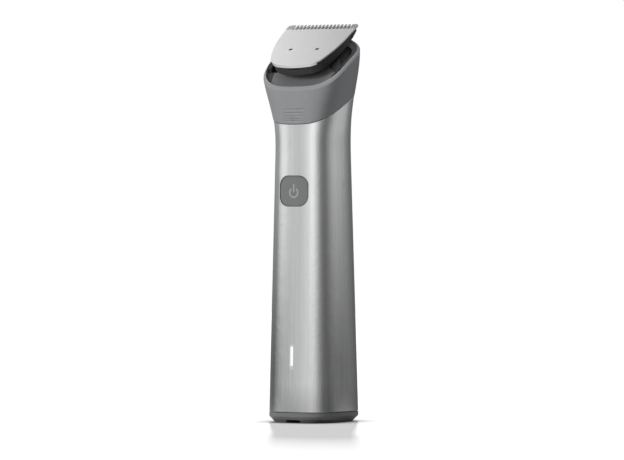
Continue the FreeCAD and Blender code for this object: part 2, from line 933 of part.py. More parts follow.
def blade_band():
    """The blade's gently domed sheet with a bevelled tooth edge, seen from the side."""
    top = [side_point(-lip_reach, dome_at(-lip_reach)), side_point(blade_crease / 2, blade_bulge),
           side_point(blade_crease, 0)]
    low = [point - Z_AXIS * blade_thickness for point in top]
    end = [side_point(blade_length, -blade_bevel), side_point(blade_length, -blade_thickness)]
    edges = [arc(*top), line(top[2], end[0]), line(end[0], end[1]), line(end[1], low[2]), arc(*low),
             line(low[0], top[0])]
    return side_profile(edges)


def tooth_slots(depth, edge, low, high):
    """The slots between the teeth, wider at the mouth."""
    root = edge - depth
    mouth = edge + tooth_pitch
    slots = []
    for step in range(tooth_slot_count):
        x = (step - (tooth_slot_count - 1) / 2) * tooth_pitch
        corners = [(x - tooth_root_width / 2, root), (x + tooth_root_width / 2, root),
                   (x + tooth_mouth_width / 2, mouth), (x - tooth_mouth_width / 2, mouth),
                   (x - tooth_root_width / 2, root)]
        wire = Part.makePolygon([FreeCAD.Vector(a, b, low) for a, b in corners])
        slots.append(Part.Face(wire).extrude(Z_AXIS * (high - low)))
    return slots


def rivet_rods(radius, low, high):
    return [rod(radius, side * rivet_spacing / 2, rivet_rise, low, high) for side in (-1, 1)]


def guard_blade():
    sheet = blade_outline(0, -overrun, overrun).common(blade_band())
    lip = blade_outline(0, -lip_drop, -lip_overlap).cut(blade_outline(lip_width, -lip_drop, -lip_overlap))
    lip = lip.common(block(tip_half, -lip_reach, lip_reach, -lip_drop, 0))
    body = fuse_all([sheet, lip])
    body = body.cut(tooth_slots(tooth_slot_depth, blade_length, -overrun, overrun))
    for side in (-1, 1):
        centre = FreeCAD.Vector(side * rivet_spacing / 2, rivet_rise, -overrun)
        oval = Part.Ellipse(centre, rivet_hole_width / 2, rivet_hole_length / 2).toShape()
        body = body.cut(Part.Face(Part.Wire([oval])).extrude(Z_AXIS * (2 * overrun)))
    return on_blade(largest(body))


def shell_band(depth_from_bottom, top_gap, start, end):
    """The head shell's side view, or its hollow when it starts above the bottom."""
    slope = (shell_front_depth - shell_end_depth) / shell_tail_start
    low_start = side_point(start, slope * start - shell_front_depth + depth_from_bottom)
    low_bend = side_point(shell_tail_start, slope * shell_tail_start - shell_front_depth + depth_from_bottom)
    tail_slope = (shell_end_depth - shell_tail_depth) / (shell_end - shell_tail_start)
    low_end = side_point(end, tail_slope * (end - shell_tail_start) - shell_end_depth + depth_from_bottom)
    under = -blade_thickness - top_gap
    middle = side_point(blade_crease / 2, under + blade_bulge)
    far = blade_length + overrun
    corners = [side_point(blade_crease, under), side_point(far, under), side_point(far, overrun),
               side_point(-overrun, overrun), side_point(-overrun, under), side_point(0, under)]
    above = [arc(corners[-1], middle, corners[0])]
    above += [line(first, last) for first, last in zip(corners, corners[1:])]
    edges = [line(low_start, low_bend), line(low_bend, low_end), line(low_end, side_point(end, overrun)),
             line(side_point(end, overrun), side_point(start, overrun)),
             line(side_point(start, overrun), low_start)]
    band = side_profile(edges)
    if top_gap > 0:
        band = band.cut(side_profile(above))
    return band


def head_shell():
    blank = blade_outline(shell_inset, -overrun, overrun).common(shell_band(0, running_gap, 0, shell_end))
    solid_above = shell_band(shell_floor / 2, 0, -overrun, overrun + blade_length)
    hollow_above = shell_band(0, 0, -overrun, overrun + blade_length)
    column = off_blade(upright_tube(neck_half_width, neck_half_depth, neck_bottom, form_height))
    body = fuse_all([blank, column.cut(solid_above)])
    inner = off_blade(upright_tube(neck_half_width - neck_wall, neck_half_depth - neck_wall, neck_bottom,
                                   form_height)).cut(hollow_above)
    cavity = blade_outline(shell_inset + shell_wall, -overrun, overrun)
    cavity = cavity.common(shell_band(shell_floor, 0, cavity_start, blade_length + overrun))
    leg_hole = off_blade(upright_tube(drive_leg_half_width + stroke + drive_leg_gap,
                                      drive_leg_half_length + drive_leg_gap, neck_bottom, form_height))
    pocket = block(spring_half + slip_gap, spring_rear - slip_gap, cavity_start + slip_gap,
                   spring_top - spring_thickness - slip_gap, spring_top + slip_gap)
    front_slot = block(slot_half_width, -overrun, shell_inset + slot_depth, -slot_drop,
                       slot_height - slot_drop)
    rivet_holes = rivet_rods(rivet_radius + running_gap, -overrun, overrun)
    for tool in [inner, cavity, leg_hole, pocket, front_slot] + rivet_holes:
        body = body.cut(tool)
    return on_blade(largest(body))


def tension_spring():
    low = spring_top - spring_thickness
    base = block(spring_half, spring_rear, spring_base_front, low, spring_top)
    middle = (spring_arm_inner + spring_arm_outer) / 2
    half = (spring_arm_outer - spring_arm_inner) / 2
    arms = [block_at(side * middle, half, spring_base_front - spring_thickness, spring_front, low, spring_top)
            for side in (-1, 1)]
    body = fuse_all([base] + arms)
    for hole in rivet_rods(rivet_radius + slip_gap, -overrun, overrun):
        body = body.cut(hole)
    return on_blade(body)


def blade_rivets():
    top = dome_at(rivet_rise) - rivet_sunk
    return on_blade(Part.makeCompound(rivet_rods(rivet_radius, rivet_bottom, top)))


def cutter_blade():
    low = cutter_top - cutter_thickness
    right = [(cutter_rear_half, cutter_rear), (cutter_half, cutter_shoulder), (cutter_half, cutter_front)]
    points = right + [(-x, y) for x, y in reversed(right)]
    points.append(points[0])
    wire = Part.makePolygon([FreeCAD.Vector(x, y, low) for x, y in points])
    body = Part.Face(wire).extrude(Z_AXIS * cutter_thickness)
    body = body.cut(tooth_slots(cutter_tooth_depth, cutter_front, -overrun, overrun) + peg_rods(running_gap))
    return on_blade(largest(body))


def peg_rods(gap):
    """The two pegs that hold the cutter on its carrier, grown by a gap."""
    low = carrier_top - slip_gap
    high = carrier_top + peg_height
    return [rod(peg_radius + gap, side * peg_spacing / 2, peg_rise, low, high) for side in (-1, 1)]


def cutter_carrier():
    plate = block(carrier_half, carrier_rear, carrier_front, carrier_bottom, carrier_top)
    leg = off_blade(upright_tube(drive_leg_half_width, drive_leg_half_length, drive_leg_bottom, form_height))
    leg = leg.cut(block(tip_half, -overrun, blade_length + overrun, carrier_top, overrun + overrun))
    body = fuse_all([plate, leg] + peg_rods(0))
    body = body.cut(off_blade(upright_tube(drive_slot_half_width, drive_slot_half_length, drive_leg_bottom,
                                           drive_slot_top)))
    return on_blade(largest(body))


pieces = [
    steel_sleeve, collar, base_cap, base_seal, charge_socket, charge_pins,
    chassis_front, chassis_rear, chassis_screws, battery_cell, battery_tabs,
    circuit_board, tact_switch, switch_plunger, status_led, light_guide,
    power_button, power_icon, button_seal,
    motor_can, motor_end_cap, motor_magnets, motor_armature, motor_shaft,
    eccentric_drive, motor_bracket, motor_screws, motor_leads,
    head_deck, bay_liner, shaft_seal,
    guard_blade, head_shell, tension_spring, blade_rivets, cutter_blade, cutter_carrier,
]

for piece in pieces:
    made = piece()
    made.exportStep("parts/" + piece.__name__ + ".step")
    print(piece.__name__, len(made.Solids), "solids,", round(made.Volume, 2), "mm3, valid", made.isValid())
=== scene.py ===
# %% [markdown]
# # A beard trimmer on its base
#
# The model was built in CAD first, and this script dresses it. The CAD pieces come in
# as a frame that never moves: each one rides on a body of the trimmer, such as the
# handle, the cutting head or the power button. Their shapes are already right, down to
# the teeth of the blade. What is added here is what they are made of, the studio that
# they stand in and the camera that looks at them.
#
# Blender counts in metres. The trimmer is small, so sizes are written in millimetres
# and multiplied by MM where Blender takes them.

import json
import math

import bpy
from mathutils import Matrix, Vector

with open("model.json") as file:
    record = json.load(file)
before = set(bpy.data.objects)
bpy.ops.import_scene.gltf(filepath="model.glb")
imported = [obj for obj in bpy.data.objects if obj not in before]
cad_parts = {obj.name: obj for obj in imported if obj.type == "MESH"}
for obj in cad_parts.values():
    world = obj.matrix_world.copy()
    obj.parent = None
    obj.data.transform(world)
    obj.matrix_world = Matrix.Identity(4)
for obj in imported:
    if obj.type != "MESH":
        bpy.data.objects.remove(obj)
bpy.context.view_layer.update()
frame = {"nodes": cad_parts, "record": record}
nodes = frame["nodes"]
MM = 0.001
scene = bpy.context.scene
scene.view_settings.view_transform = "Standard"
print("pieces from the CAD model:", len(nodes))

# %% [markdown]
# ## The camera
#
# A product photographer stands far back with a long lens, so that upright edges stay
# upright. The trimmer is seen from two metres, a little above the middle of its height
# and turned 31 degrees to its right side. The lens follows from how many millimetres
# of the trimmer one pixel of a 624 pixel wide picture covers.

# %% Camera
PICTURE_WIDTH = 624
PIXEL = 0.4135
TURN = math.radians(31.0)
DISTANCE = 2000.0
EYE_HEIGHT = 96.0
LOOK_HEIGHT = 79.2
LOOK_ASIDE = -0.79
SENSOR = 36.0

to_right = Vector((math.cos(TURN), math.sin(TURN), 0))
to_camera = Vector((math.sin(TURN), -math.cos(TURN), 0))
aim = (to_right * LOOK_ASIDE + Vector((0, 0, LOOK_HEIGHT))) * MM
camera = bpy.data.objects.new("camera", bpy.data.cameras.new("camera"))
scene.collection.objects.link(camera)
camera.location = (to_right * LOOK_ASIDE + to_camera * DISTANCE + Vector((0, 0, EYE_HEIGHT))) * MM
camera.rotation_euler = (aim - camera.location).to_track_quat("-Z", "Y").to_euler()
camera.data.sensor_width = SENSOR
camera.data.lens = SENSOR * DISTANCE / (PICTURE_WIDTH * PIXEL)
scene.camera = camera
print("lens in mm:", round(camera.data.lens, 1))

# %% [markdown]
# ## Small helpers for shader nodes
#
# A material is a tree of nodes. Each node could be made with four or five lines, one for
# the node, one for each setting and one for each link. A single helper that takes the
# settings and the inputs together keeps every recipe below as short as its idea. The
# others put names on the sums that come back most often.

# %% One node at a time
def add(tree, kind, inputs=None, **settings):
    """Adds one shader node; an input is a plain value or another node's socket."""
    made = tree.nodes.new("ShaderNode" + kind)
    for name, value in settings.items():
        setattr(made, name, value)
    for key, value in (inputs or {}).items():
        if isinstance(value, bpy.types.NodeSocket):
            tree.links.new(value, made.inputs[key])
        else:
            made.inputs[key].default_value = value
    return made


def calculate(tree, operation, first, second=0.0):
    """One Math node's result."""
    return add(tree, "Math", {0: first, 1: second}, operation=operation).outputs[0]


def remap(tree, value, low, high, to_low, to_high, kind="SMOOTHSTEP"):
    """A value moved from one range to another."""
    made = add(tree, "MapRange", {"Value": value, "From Min": low, "From Max": high,
                                  "To Min": to_low, "To Max": to_high}, interpolation_type=kind)
    return made.outputs["Result"]


print("node helpers ready")

# %% Sums that come back often
NOISE_MIDDLE = 0.5


def product(tree, first, *others):
    """All the values multiplied."""
    for value in others:
        first = calculate(tree, "MULTIPLY", first, value)
    return first


def largest(tree, first, *others):
    """The largest of the values, so that masks join without adding up."""
    for value in others:
        first = calculate(tree, "MAXIMUM", first, value)
    return first


def opposite(tree, mask):
    """0 where the mask is 1, and 1 where it is 0."""
    return calculate(tree, "SUBTRACT", 1.0, mask)


def between(tree, mask, at_none, at_full):
    """One value where the mask is 0, another where it is 1, and a smooth change from one to the other."""
    return remap(tree, mask, 0.0, 1.0, at_none, at_full)


def drawn_out(tree, noise_value, spread, at_low=0.0, at_high=1.0):
    """Noise keeps close to its middle, and this draws it out over a whole range."""
    return remap(tree, noise_value, NOISE_MIDDLE - spread, NOISE_MIDDLE + spread, at_low, at_high)


def grey(level):
    """A neutral colour, as Blender wants it, with its fourth value for how solid it is."""
    return (level, level, level, 1.0)


print("middle grey is written", grey(NOISE_MIDDLE))

# %% Places on the trimmer, and bare materials
def surface_place(tree, stretch=(1.0, 1.0, 1.0)):
    """The place on the trimmer in millimetres, divided by the stretch along each axis."""
    place = add(tree, "TexCoord").outputs["Object"]
    scale = [1 / (MM * length) for length in stretch]
    return add(tree, "Mapping", {"Vector": place, "Scale": scale}).outputs["Vector"]


def separate_axes(tree):
    """The same place as three values, named X, Y and Z."""
    return add(tree, "SeparateXYZ", {0: surface_place(tree)}).outputs


def bare_material(name):
    """A new material and its tree, without any node."""
    made = bpy.data.materials.new(name)
    made.use_nodes = True
    made.node_tree.nodes.clear()
    return made, made.node_tree


def seeing_ray(tree):
    """1 for rays by which a thing is seen, straight, mirrored or through glass, and 0 for others."""
    rays = add(tree, "LightPath").outputs
    return largest(tree, rays["Is Camera Ray"], rays["Is Glossy Ray"], rays["Is Transmission Ray"])


print("material helpers ready")

# %% [markdown]
# ## The white room
#
# The trimmer stands before white. The world is that white to the eye and in mirrors, but
# as a light it would wash out every shadow in the head. So it shines on the trimmer with
# less than a third of its level, and the lamps below do the rest.

# %% World
WORLD_FILL = 0.30

world = bpy.data.worlds.new("white room")
scene.world = world
world.use_nodes = True
tree = world.node_tree
tree.nodes.clear()
level = between(tree, seeing_ray(tree), WORLD_FILL, 1.0)
sky = add(tree, "Background", {"Color": grey(1.0), "Strength": level})
tree.links.new(sky.outputs[0], add(tree, "OutputWorld").inputs[0])
print("world level on the object:", WORLD_FILL)

# %% [markdown]
# ## The studio's walls
#
# Brushed steel has no colour of its own: it shows what stands round it. In a studio that
# is a white room with black and grey cards, which give a steel handle its bright and dark
# stripes. Here one tall curtain round the trimmer carries the cards. Its grey level
# depends on the direction, and each card keeps only a share of its light near the floor,
# where less lamp light reaches it. A skirt of the same cloth lies on the table. The flare
# under the collar leans down, and would see the table where the rest sees the cards, so a
# shelf at its height shows it the same cards. The shelf thins out towards the trimmer, or
# its inner edge would draw a line across the steel. Only reflections see these walls, and
# only from the inside or from above.

# %% Cards and where they lose their light
CURTAIN_RADIUS = 900.0
CURTAIN_TOP = 1100.0
CURTAIN_SIDES = 96
CARD_FADE_START = 130.0
SKIRT_INNER = 14.0
SKIRT_HEIGHT = 1.5
SHELF_INNER = 25.0
SHELF_HEIGHT = 100.0
# Both lists go by a share of the curtain's radius. The first tells how much of the loss
# towards the floor shows there, the second how much of the shelf.
SKIRT_LOSS_SHARES = [(0.0, 0.0), (0.10, 0.0), (0.20, 0.50), (0.34, 0.60), (0.48, 1.0)]
SHELF_COVER_SHARES = [(0.0, 0.0), (0.028, 0.0), (0.09, 1.0)]
# Each card has its direction in degrees, 0 in front of the button and growing to the
# trimmer's right, its grey level high up, and the share of that that is left at the floor
CARDS = [(-88, 0.40, 0.26), (-72, 0.45, 0.20), (-60, 0.85, 0.20), (-46, 1.05, 0.26), (-38, 0.98, 0.38),
         (-33, 0.74, 0.60), (-28, 0.66, 0.95), (-15, 0.74, 1.00), (0, 0.92, 0.75), (15, 1.15, 0.57),
         (30, 1.08, 0.54), (45, 0.78, 0.52), (58, 0.48, 0.52), (72, 0.28, 0.57), (90, 0.19, 0.62),
         (105, 0.22, 0.48), (120, 0.36, 0.28), (136, 0.56, 0.19), (147, 0.56, 0.18), (153, 0.30, 0.50),
         (168, 0.18, 0.75), (200, 0.16, 0.75), (245, 0.35, 0.40), (258, 0.42, 0.28)]
card_directions, card_levels, card_floor_shares = zip(*CARDS)
print("studio cards:", len(CARDS))

# %% Ramps of grey
FULL_TURN = 360.0
FRONT_SHARE = 0.25


def grey_ramp(tree, value, stops):
    """A ramp of greys from pairs of place and level."""
    ramp = add(tree, "ValToRGB", {"Fac": value})
    made = ramp.color_ramp.elements
    for index, (share, level) in enumerate(stops):
        stop = made[index] if index < 2 else made.new(share)
        stop.position = share
        stop.color = grey(level)
    return ramp.outputs["Color"]


def card_ramp(tree, around, values):
    """One value for each card, blended round the trimmer."""
    shares = [(direction / FULL_TURN + FRONT_SHARE) % 1.0 for direction in card_directions]
    return grey_ramp(tree, around, list(zip(shares, values)))


print("the first card is at", round(card_directions[0] / FULL_TURN + FRONT_SHARE, 3), "of a turn")

# %% Card cloth
def card_material(name, loss_shares=None, cover_shares=None):
    """Cloth that glows on one side like the cards; it may be darker near the floor, or thin out."""
    made, tree = bare_material(name)
    place = add(tree, "TexCoord").outputs["Object"]
    around = add(tree, "TexGradient", {"Vector": place}, gradient_type="RADIAL").outputs["Fac"]
    part = add(tree, "SeparateXYZ", {0: place}).outputs
    flat = add(tree, "CombineXYZ", {"X": part["X"], "Y": part["Y"]}).outputs[0]
    radius = add(tree, "VectorMath", {0: flat}, operation="LENGTH").outputs["Value"]
    share = calculate(tree, "DIVIDE", radius, CURTAIN_RADIUS * MM)
    light = card_ramp(tree, around, card_levels)
    hidden = add(tree, "NewGeometry").outputs["Backfacing"]
    if loss_shares:
        low = remap(tree, part["Z"], 0.0, CARD_FADE_START * MM, 1.0, 0.0, "LINEAR")
        lost = opposite(tree, card_ramp(tree, around, card_floor_shares))
        loss = product(tree, grey_ramp(tree, share, loss_shares), low, lost)
        light = product(tree, light, opposite(tree, loss))
    if cover_shares:
        hidden = largest(tree, hidden, opposite(tree, grey_ramp(tree, share, cover_shares)))
    glow = add(tree, "Emission", {"Color": grey(1.0), "Strength": light})
    clear = add(tree, "BsdfTransparent")
    both = add(tree, "MixShader", {0: hidden, 1: glow.outputs[0], 2: clear.outputs[0]})
    tree.links.new(both.outputs[0], add(tree, "OutputMaterial").inputs[0])
    return made


print("card cloth ready")

# %% Curtain, skirt and shelf
def ring(radius, height):
    """The corners of a level ring round the trimmer's axis, in metres."""
    angles = [math.tau * step / CURTAIN_SIDES for step in range(CURTAIN_SIDES)]
    return [(radius * MM * math.cos(a), radius * MM * math.sin(a), height * MM) for a in angles]


def joined_rings(rings):
    """The corners of several rings, and the faces that join each ring to the next."""
    count = len(rings[0])
    faces = []
    for low in range(0, count * (len(rings) - 1), count):
        for i in range(count):
            after = (i + 1) % count
            faces.append((low + i, low + after, low + count + after, low + count + i))
    return [corner for each in rings for corner in each], faces


def make_object(name, corners, faces, material):
    """A new object in the scene from plain lists of corners and faces."""
    mesh = bpy.data.meshes.new(name)
    mesh.from_pydata(corners, [], faces)
    mesh.update()
    mesh.materials.append(material)
    made = bpy.data.objects.new(name, mesh)
    scene.collection.objects.link(made)
    return made


cloth = joined_rings([ring(CURTAIN_RADIUS, CURTAIN_TOP), ring(CURTAIN_RADIUS, SKIRT_HEIGHT),
                      ring(SKIRT_INNER, SKIRT_HEIGHT)])
shelf = joined_rings([ring(CURTAIN_RADIUS, SHELF_HEIGHT), ring(SHELF_INNER, SHELF_HEIGHT)])
walls = [make_object("studio_curtain", *cloth, card_material("studio_cards", loss_shares=SKIRT_LOSS_SHARES)),
         make_object("studio_shelf", *shelf, card_material("shelf_cards", cover_shares=SHELF_COVER_SHARES))]
for wall in walls:
    for ray in ("camera", "diffuse", "transmission", "volume_scatter", "shadow"):
        setattr(wall, "visible_" + ray, False)
print("walls:", ", ".join(wall.name for wall in walls))

# %% [markdown]
# ## Lamps and floor
#
# A large soft lamp stands in front and a little above, so that the front of the collar
# is lighter than its side, and a second one hangs overhead for the rim and the blade. Two
# small ones reach into the open head, one for the lining of the bay and one for the deck.
# The steel and the blade would show a lamp as a hard white patch, so they see the cards
# alone: only the lamp for the bay has a sheen, and that on the lining.
#
# The floor is a pale table. In the photograph a faint shadow comes towards the viewer
# from under the base, with straight sides, and fades away after a hand's width. A tall
# narrow lamp far behind the trimmer gives it, and shines on the table alone. The dark
# line close round the base is the table's own loss of light in the narrow gap.

# %% Lamps
LAMP_AIM_HEIGHT = 80.0
SHEEN_LAMP = "bay_lamp"
# Azimuth and elevation in degrees, distance, width and height, then power in watts
LAMPS = {
    "key_lamp": (-28, 17, 2000, 600, 700, 25.5),
    "overhead_lamp": (20, 78, 1600, 900, 900, 13.0),
    "table_lamp": (211, 42.5, 8000, 160, 3200, 990.0),
    "bay_lamp": (60, 50, 900, 300, 300, 7.0),
    "deck_lamp": (10, 4, 900, 500, 120, 1.6),
}


def lamp(name, azimuth, elevation, distance, width, height, power):
    """An area lamp that looks at the middle of the trimmer, placed by direction."""
    made = bpy.data.objects.new(name, bpy.data.lights.new(name, "AREA"))
    scene.collection.objects.link(made)
    made.data.shape = "RECTANGLE"
    made.data.size, made.data.size_y = width * MM, height * MM
    made.data.energy = power
    made.visible_camera = False
    made.visible_glossy = name == SHEEN_LAMP
    turn, lift = math.radians(azimuth), math.radians(elevation)
    out = Vector((math.sin(turn) * math.cos(lift), -math.cos(turn) * math.cos(lift), math.sin(lift)))
    middle = Vector((0, 0, LAMP_AIM_HEIGHT * MM))
    made.location = middle + out * distance * MM
    made.rotation_euler = (middle - made.location).to_track_quat("-Z", "Y").to_euler()
    return made


lamps = {name: lamp(name, *settings) for name, settings in LAMPS.items()}
print("lamps:", ", ".join(lamps))

# %% Floor
FLOOR_HALF = 1500.0
FLOOR_SEEN = 0.45
FLOOR_BOUNCE = 0.22
FLOOR_GLOW = 0.31
CONTACT_REACH = 10.0
CONTACT_SAMPLES = 8

floor_look, tree = bare_material("pale_table")
seen = seeing_ray(tree)
near = add(tree, "AmbientOcclusion", {"Distance": CONTACT_REACH * MM}, samples=CONTACT_SAMPLES).outputs["AO"]
shade = between(tree, seen, FLOOR_BOUNCE, FLOOR_SEEN)
matt = add(tree, "BsdfDiffuse", {"Color": product(tree, shade, near)})
glow = add(tree, "Emission", {"Color": grey(1.0), "Strength": product(tree, seen, FLOOR_GLOW, near)})
both = add(tree, "AddShader", {0: matt.outputs[0], 1: glow.outputs[0]})
tree.links.new(both.outputs[0], add(tree, "OutputMaterial").inputs[0])
edge = FLOOR_HALF * MM
floor = make_object("floor", [(-edge, -edge, 0), (edge, -edge, 0), (edge, edge, 0), (-edge, edge, 0)],
                    [(0, 1, 2, 3)], floor_look)
print("floor is", 2 * FLOOR_HALF, "mm wide")

# %% Which lamp shines on what
def limit_lamp(lamp_name, group_name, targets, state):
    """Lets a lamp shine on the targets alone, or on all but them."""
    group = bpy.data.collections.new(group_name)
    for target in targets:
        group.objects.link(target)
    for link in group.collection_objects:
        link.light_linking.link_state = state
    lamps[lamp_name].light_linking.receiver_collection = group


limit_lamp("table_lamp", "table only", [floor], "INCLUDE")
limit_lamp("bay_lamp", "bay only", [nodes["bay_liner"]], "INCLUDE")
limit_lamp("deck_lamp", "deck only", [nodes["head_deck"]], "INCLUDE")
limit_lamp("key_lamp", "not the table or the bay", [floor, nodes["bay_liner"]], "EXCLUDE")
print("lamps with a limit:", [one.name for one in lamps.values() if one.light_linking.receiver_collection])

# %% [markdown]
# ## Effects that many finishes share
#
# Grain, handling marks, worn edges and brushed lines turn up on many of the pieces, only
# finer or coarser. Each one is a node group, built once, with its sizes in millimetres as
# inputs. A material places the group and gives it its own values.

# %% How an effect is begun
def new_effect(name, inputs, outputs):
    """An empty node group with named inputs and outputs, and its first and last node."""
    group = bpy.data.node_groups.new(name, "ShaderNodeTree")
    for label, start_value in inputs:
        socket = group.interface.new_socket(label, in_out="INPUT", socket_type="NodeSocketFloat")
        socket.default_value = start_value
    for label in outputs:
        group.interface.new_socket(label, in_out="OUTPUT", socket_type="NodeSocketFloat")
    return group, group.nodes.new("NodeGroupInput").outputs, group.nodes.new("NodeGroupOutput").inputs


def scaled_place(group, across, up):
    """The place in millimetres, divided by one length across the trimmer and one along it."""
    place = separate_axes(group)
    x = calculate(group, "DIVIDE", place["X"], across)
    y = calculate(group, "DIVIDE", place["Y"], across)
    z = calculate(group, "DIVIDE", place["Z"], up)
    return add(group, "CombineXYZ", {"X": x, "Y": y, "Z": z}).outputs[0]


def noise(tree, place, detail, rough=0.55):
    """Soft noise; more detail adds finer spots, and rough says how strong they are."""
    made = add(tree, "TexNoise", {"Vector": place, "Scale": 1.0, "Detail": detail, "Roughness": rough})
    return made.outputs["Fac"]


print("effect helpers ready")

# %% Fine grain and handling marks
GRAIN_DETAIL = 3.0
MARK_DETAIL = 4.0
MARK_ROUGH = 0.65
MARK_LEVEL = 0.62
MARK_LEVEL_DROP = 0.25
MARK_FADE = 0.26

fine_grain, given, result = new_effect("Fine Grain", [("Size", 0.4)], ["Height"])
spot = scaled_place(fine_grain, given["Size"], given["Size"])
fine_grain.links.new(noise(fine_grain, spot, GRAIN_DETAIL), result["Height"])

# A mark shows where a broad noise is above a level, and more cover lowers that level
handling, given, result = new_effect("Handling Marks", [("Size", 9.0), ("Cover", 0.5)], ["Mask"])
spot = scaled_place(handling, given["Size"], given["Size"])
broad = noise(handling, spot, MARK_DETAIL, MARK_ROUGH)
low = calculate(handling, "SUBTRACT", MARK_LEVEL, product(handling, given["Cover"], MARK_LEVEL_DROP))
mask = remap(handling, broad, low, calculate(handling, "ADD", low, MARK_FADE), 0.0, 1.0)
handling.links.new(mask, result["Mask"])
print("effects:", fine_grain.name, "and", handling.name)

# %% Edge wear
EDGE_TURNED = 0.80
EDGE_FLAT = 0.995
EDGE_SAMPLES = 4
WEAR_DETAIL = 3.0
WEAR_NOISE_LOW = 0.3
WEAR_NOISE_HIGH = 0.6
WEAR_LEAST = 0.35

# A Bevel node rounds the normal close to an edge, so an edge is where it leaves the flat one
edge_wear, given, result = new_effect("Edge Wear", [("Width", 0.4), ("Unevenness", 3.0)], ["Mask"])
reach = product(edge_wear, given["Width"], MM)
bevel = add(edge_wear, "Bevel", {"Radius": reach}, samples=EDGE_SAMPLES)
flat = add(edge_wear, "NewGeometry").outputs["Normal"]
turned = add(edge_wear, "VectorMath", {0: bevel.outputs[0], 1: flat}, operation="DOT_PRODUCT")
rounded = remap(edge_wear, turned.outputs["Value"], EDGE_TURNED, EDGE_FLAT, 1.0, 0.0)
spot = scaled_place(edge_wear, given["Unevenness"], given["Unevenness"])
patches = noise(edge_wear, spot, WEAR_DETAIL)
uneven = remap(edge_wear, patches, WEAR_NOISE_LOW, WEAR_NOISE_HIGH, WEAR_LEAST, 1.0)
edge_wear.links.new(product(edge_wear, rounded, uneven), result["Mask"])
print("effect:", edge_wear.name)

# %% Brushed lines
LINE_DETAIL = 2.0
LINE_ROUGH = 0.7
STREAK_DETAIL = 3.0
STREAK_ROUGH = 0.6
STREAK_WIDTHS = 7.0
STREAK_LENGTHS = 2.5
STREAK_SHARE = 0.5

# Streaks are as wide as several lines together, and longer
brushed, given, result = new_effect("Brushed Lines", [("Width", 0.12), ("Length", 40.0)],
                                    ["Height", "Shade"])
fine = noise(brushed, scaled_place(brushed, given["Width"], given["Length"]), LINE_DETAIL, LINE_ROUGH)
wide = product(brushed, given["Width"], STREAK_WIDTHS)
long = product(brushed, given["Length"], STREAK_LENGTHS)
streak = noise(brushed, scaled_place(brushed, wide, long), STREAK_DETAIL, STREAK_ROUGH)
fine_part = product(brushed, fine, 1.0 - STREAK_SHARE)
streak_part = product(brushed, streak, STREAK_SHARE)
brushed.links.new(fine, result["Height"])
brushed.links.new(calculate(brushed, "ADD", fine_part, streak_part), result["Shade"])
EFFECTS = {group.name: group for group in (fine_grain, handling, edge_wear, brushed)}
print("effects:", ", ".join(EFFECTS))

# %% [markdown]
# ## What a finish is
#
# Every finish ends in one Principled shader, because real surfaces differ in a few things
# only: their colour, how metallic and how rough they are, and how uneven. The helpers
# below start such a material, place the shared effects in it and bump its surface. A
# piece that has something of its own, such as painted shade on the blade's teeth, reopens
# a finish and adds it.

# %% Start a finish
COAT_ROUGHNESS = 0.15


def effect(tree, name, **values):
    """Places a shared effect in a material with its own values."""
    made = add(tree, "Group", node_tree=EFFECTS[name])
    for label, value in values.items():
        made.inputs[label].default_value = value
    return made.outputs


def start_finish(name, metallic=0.0, coat=0.0, specular=0.5):
    """A new material with its shader, which has no colour or roughness of its own yet."""
    made, tree = bare_material(name)
    shader = add(tree, "BsdfPrincipled")
    shader.inputs["Metallic"].default_value = metallic
    shader.inputs["Coat Weight"].default_value = coat
    shader.inputs["Coat Roughness"].default_value = COAT_ROUGHNESS
    shader.inputs["Specular IOR Level"].default_value = specular
    tree.links.new(shader.outputs[0], add(tree, "OutputMaterial").inputs[0])
    return made, tree, shader


def reopen(finish):
    """A finish's tree and shader, and the colour that goes into the shader so far."""
    tree = finish.node_tree
    shader = next(node for node in tree.nodes if node.type == "BSDF_PRINCIPLED")
    return tree, shader, shader.inputs["Base Color"].links[0].from_socket


print("finishes can start")

# %% Colours and bumps
SOFT_EDGE_SAMPLES = 6


def blend_colours(tree, mask, first, second):
    """The first colour where the mask is 0, the second where it is 1."""
    made = add(tree, "Mix", {0: mask, 6: first, 7: second}, data_type="RGBA")
    return made.outputs[2]


def shaded(colour, factor):
    """A colour made darker or paler by a factor."""
    return tuple(min(part * factor, 1.0) for part in colour[:3]) + (1.0,)


def raise_surface(tree, shader, height, depth, round_edges=0.0):
    """Bumps the surface by a height in millimetres, over edges that may be softened."""
    inputs = {"Height": height, "Strength": 1.0, "Distance": depth * MM}
    if round_edges:
        bevel = add(tree, "Bevel", {"Radius": round_edges * MM}, samples=SOFT_EDGE_SAMPLES)
        inputs["Normal"] = bevel.outputs[0]
    tree.links.new(add(tree, "Bump", inputs).outputs[0], shader.inputs["Normal"])


print("a grey made paler:", shaded(grey(NOISE_MIDDLE), 1.2))

# %% [markdown]
# ## Moulded plastic
#
# Nearly all of the plastic was moulded against a spark-eroded tool, which leaves a fine
# grain on it. Hands polish it in patches, and its edges go a little paler, which on the
# collar is also a painted highlight. So one recipe serves the collar, the base, the button
# and the black parts, and only its numbers differ: the colour, how rough it is, how coarse
# the grain is and how pale its edges are, from wear and painted highlight.

# %% Moulded plastic
GRAIN_DEPTH = 0.02
GRAIN_SPREAD = 0.15
SPECKLE = 0.07
TOUCH_SIZE = 11.0
TOUCH_COVER = 0.5
TOUCH_SHARE = 0.5
TOUCH_PALER = 1.08
EDGE_GLOSS = 0.1


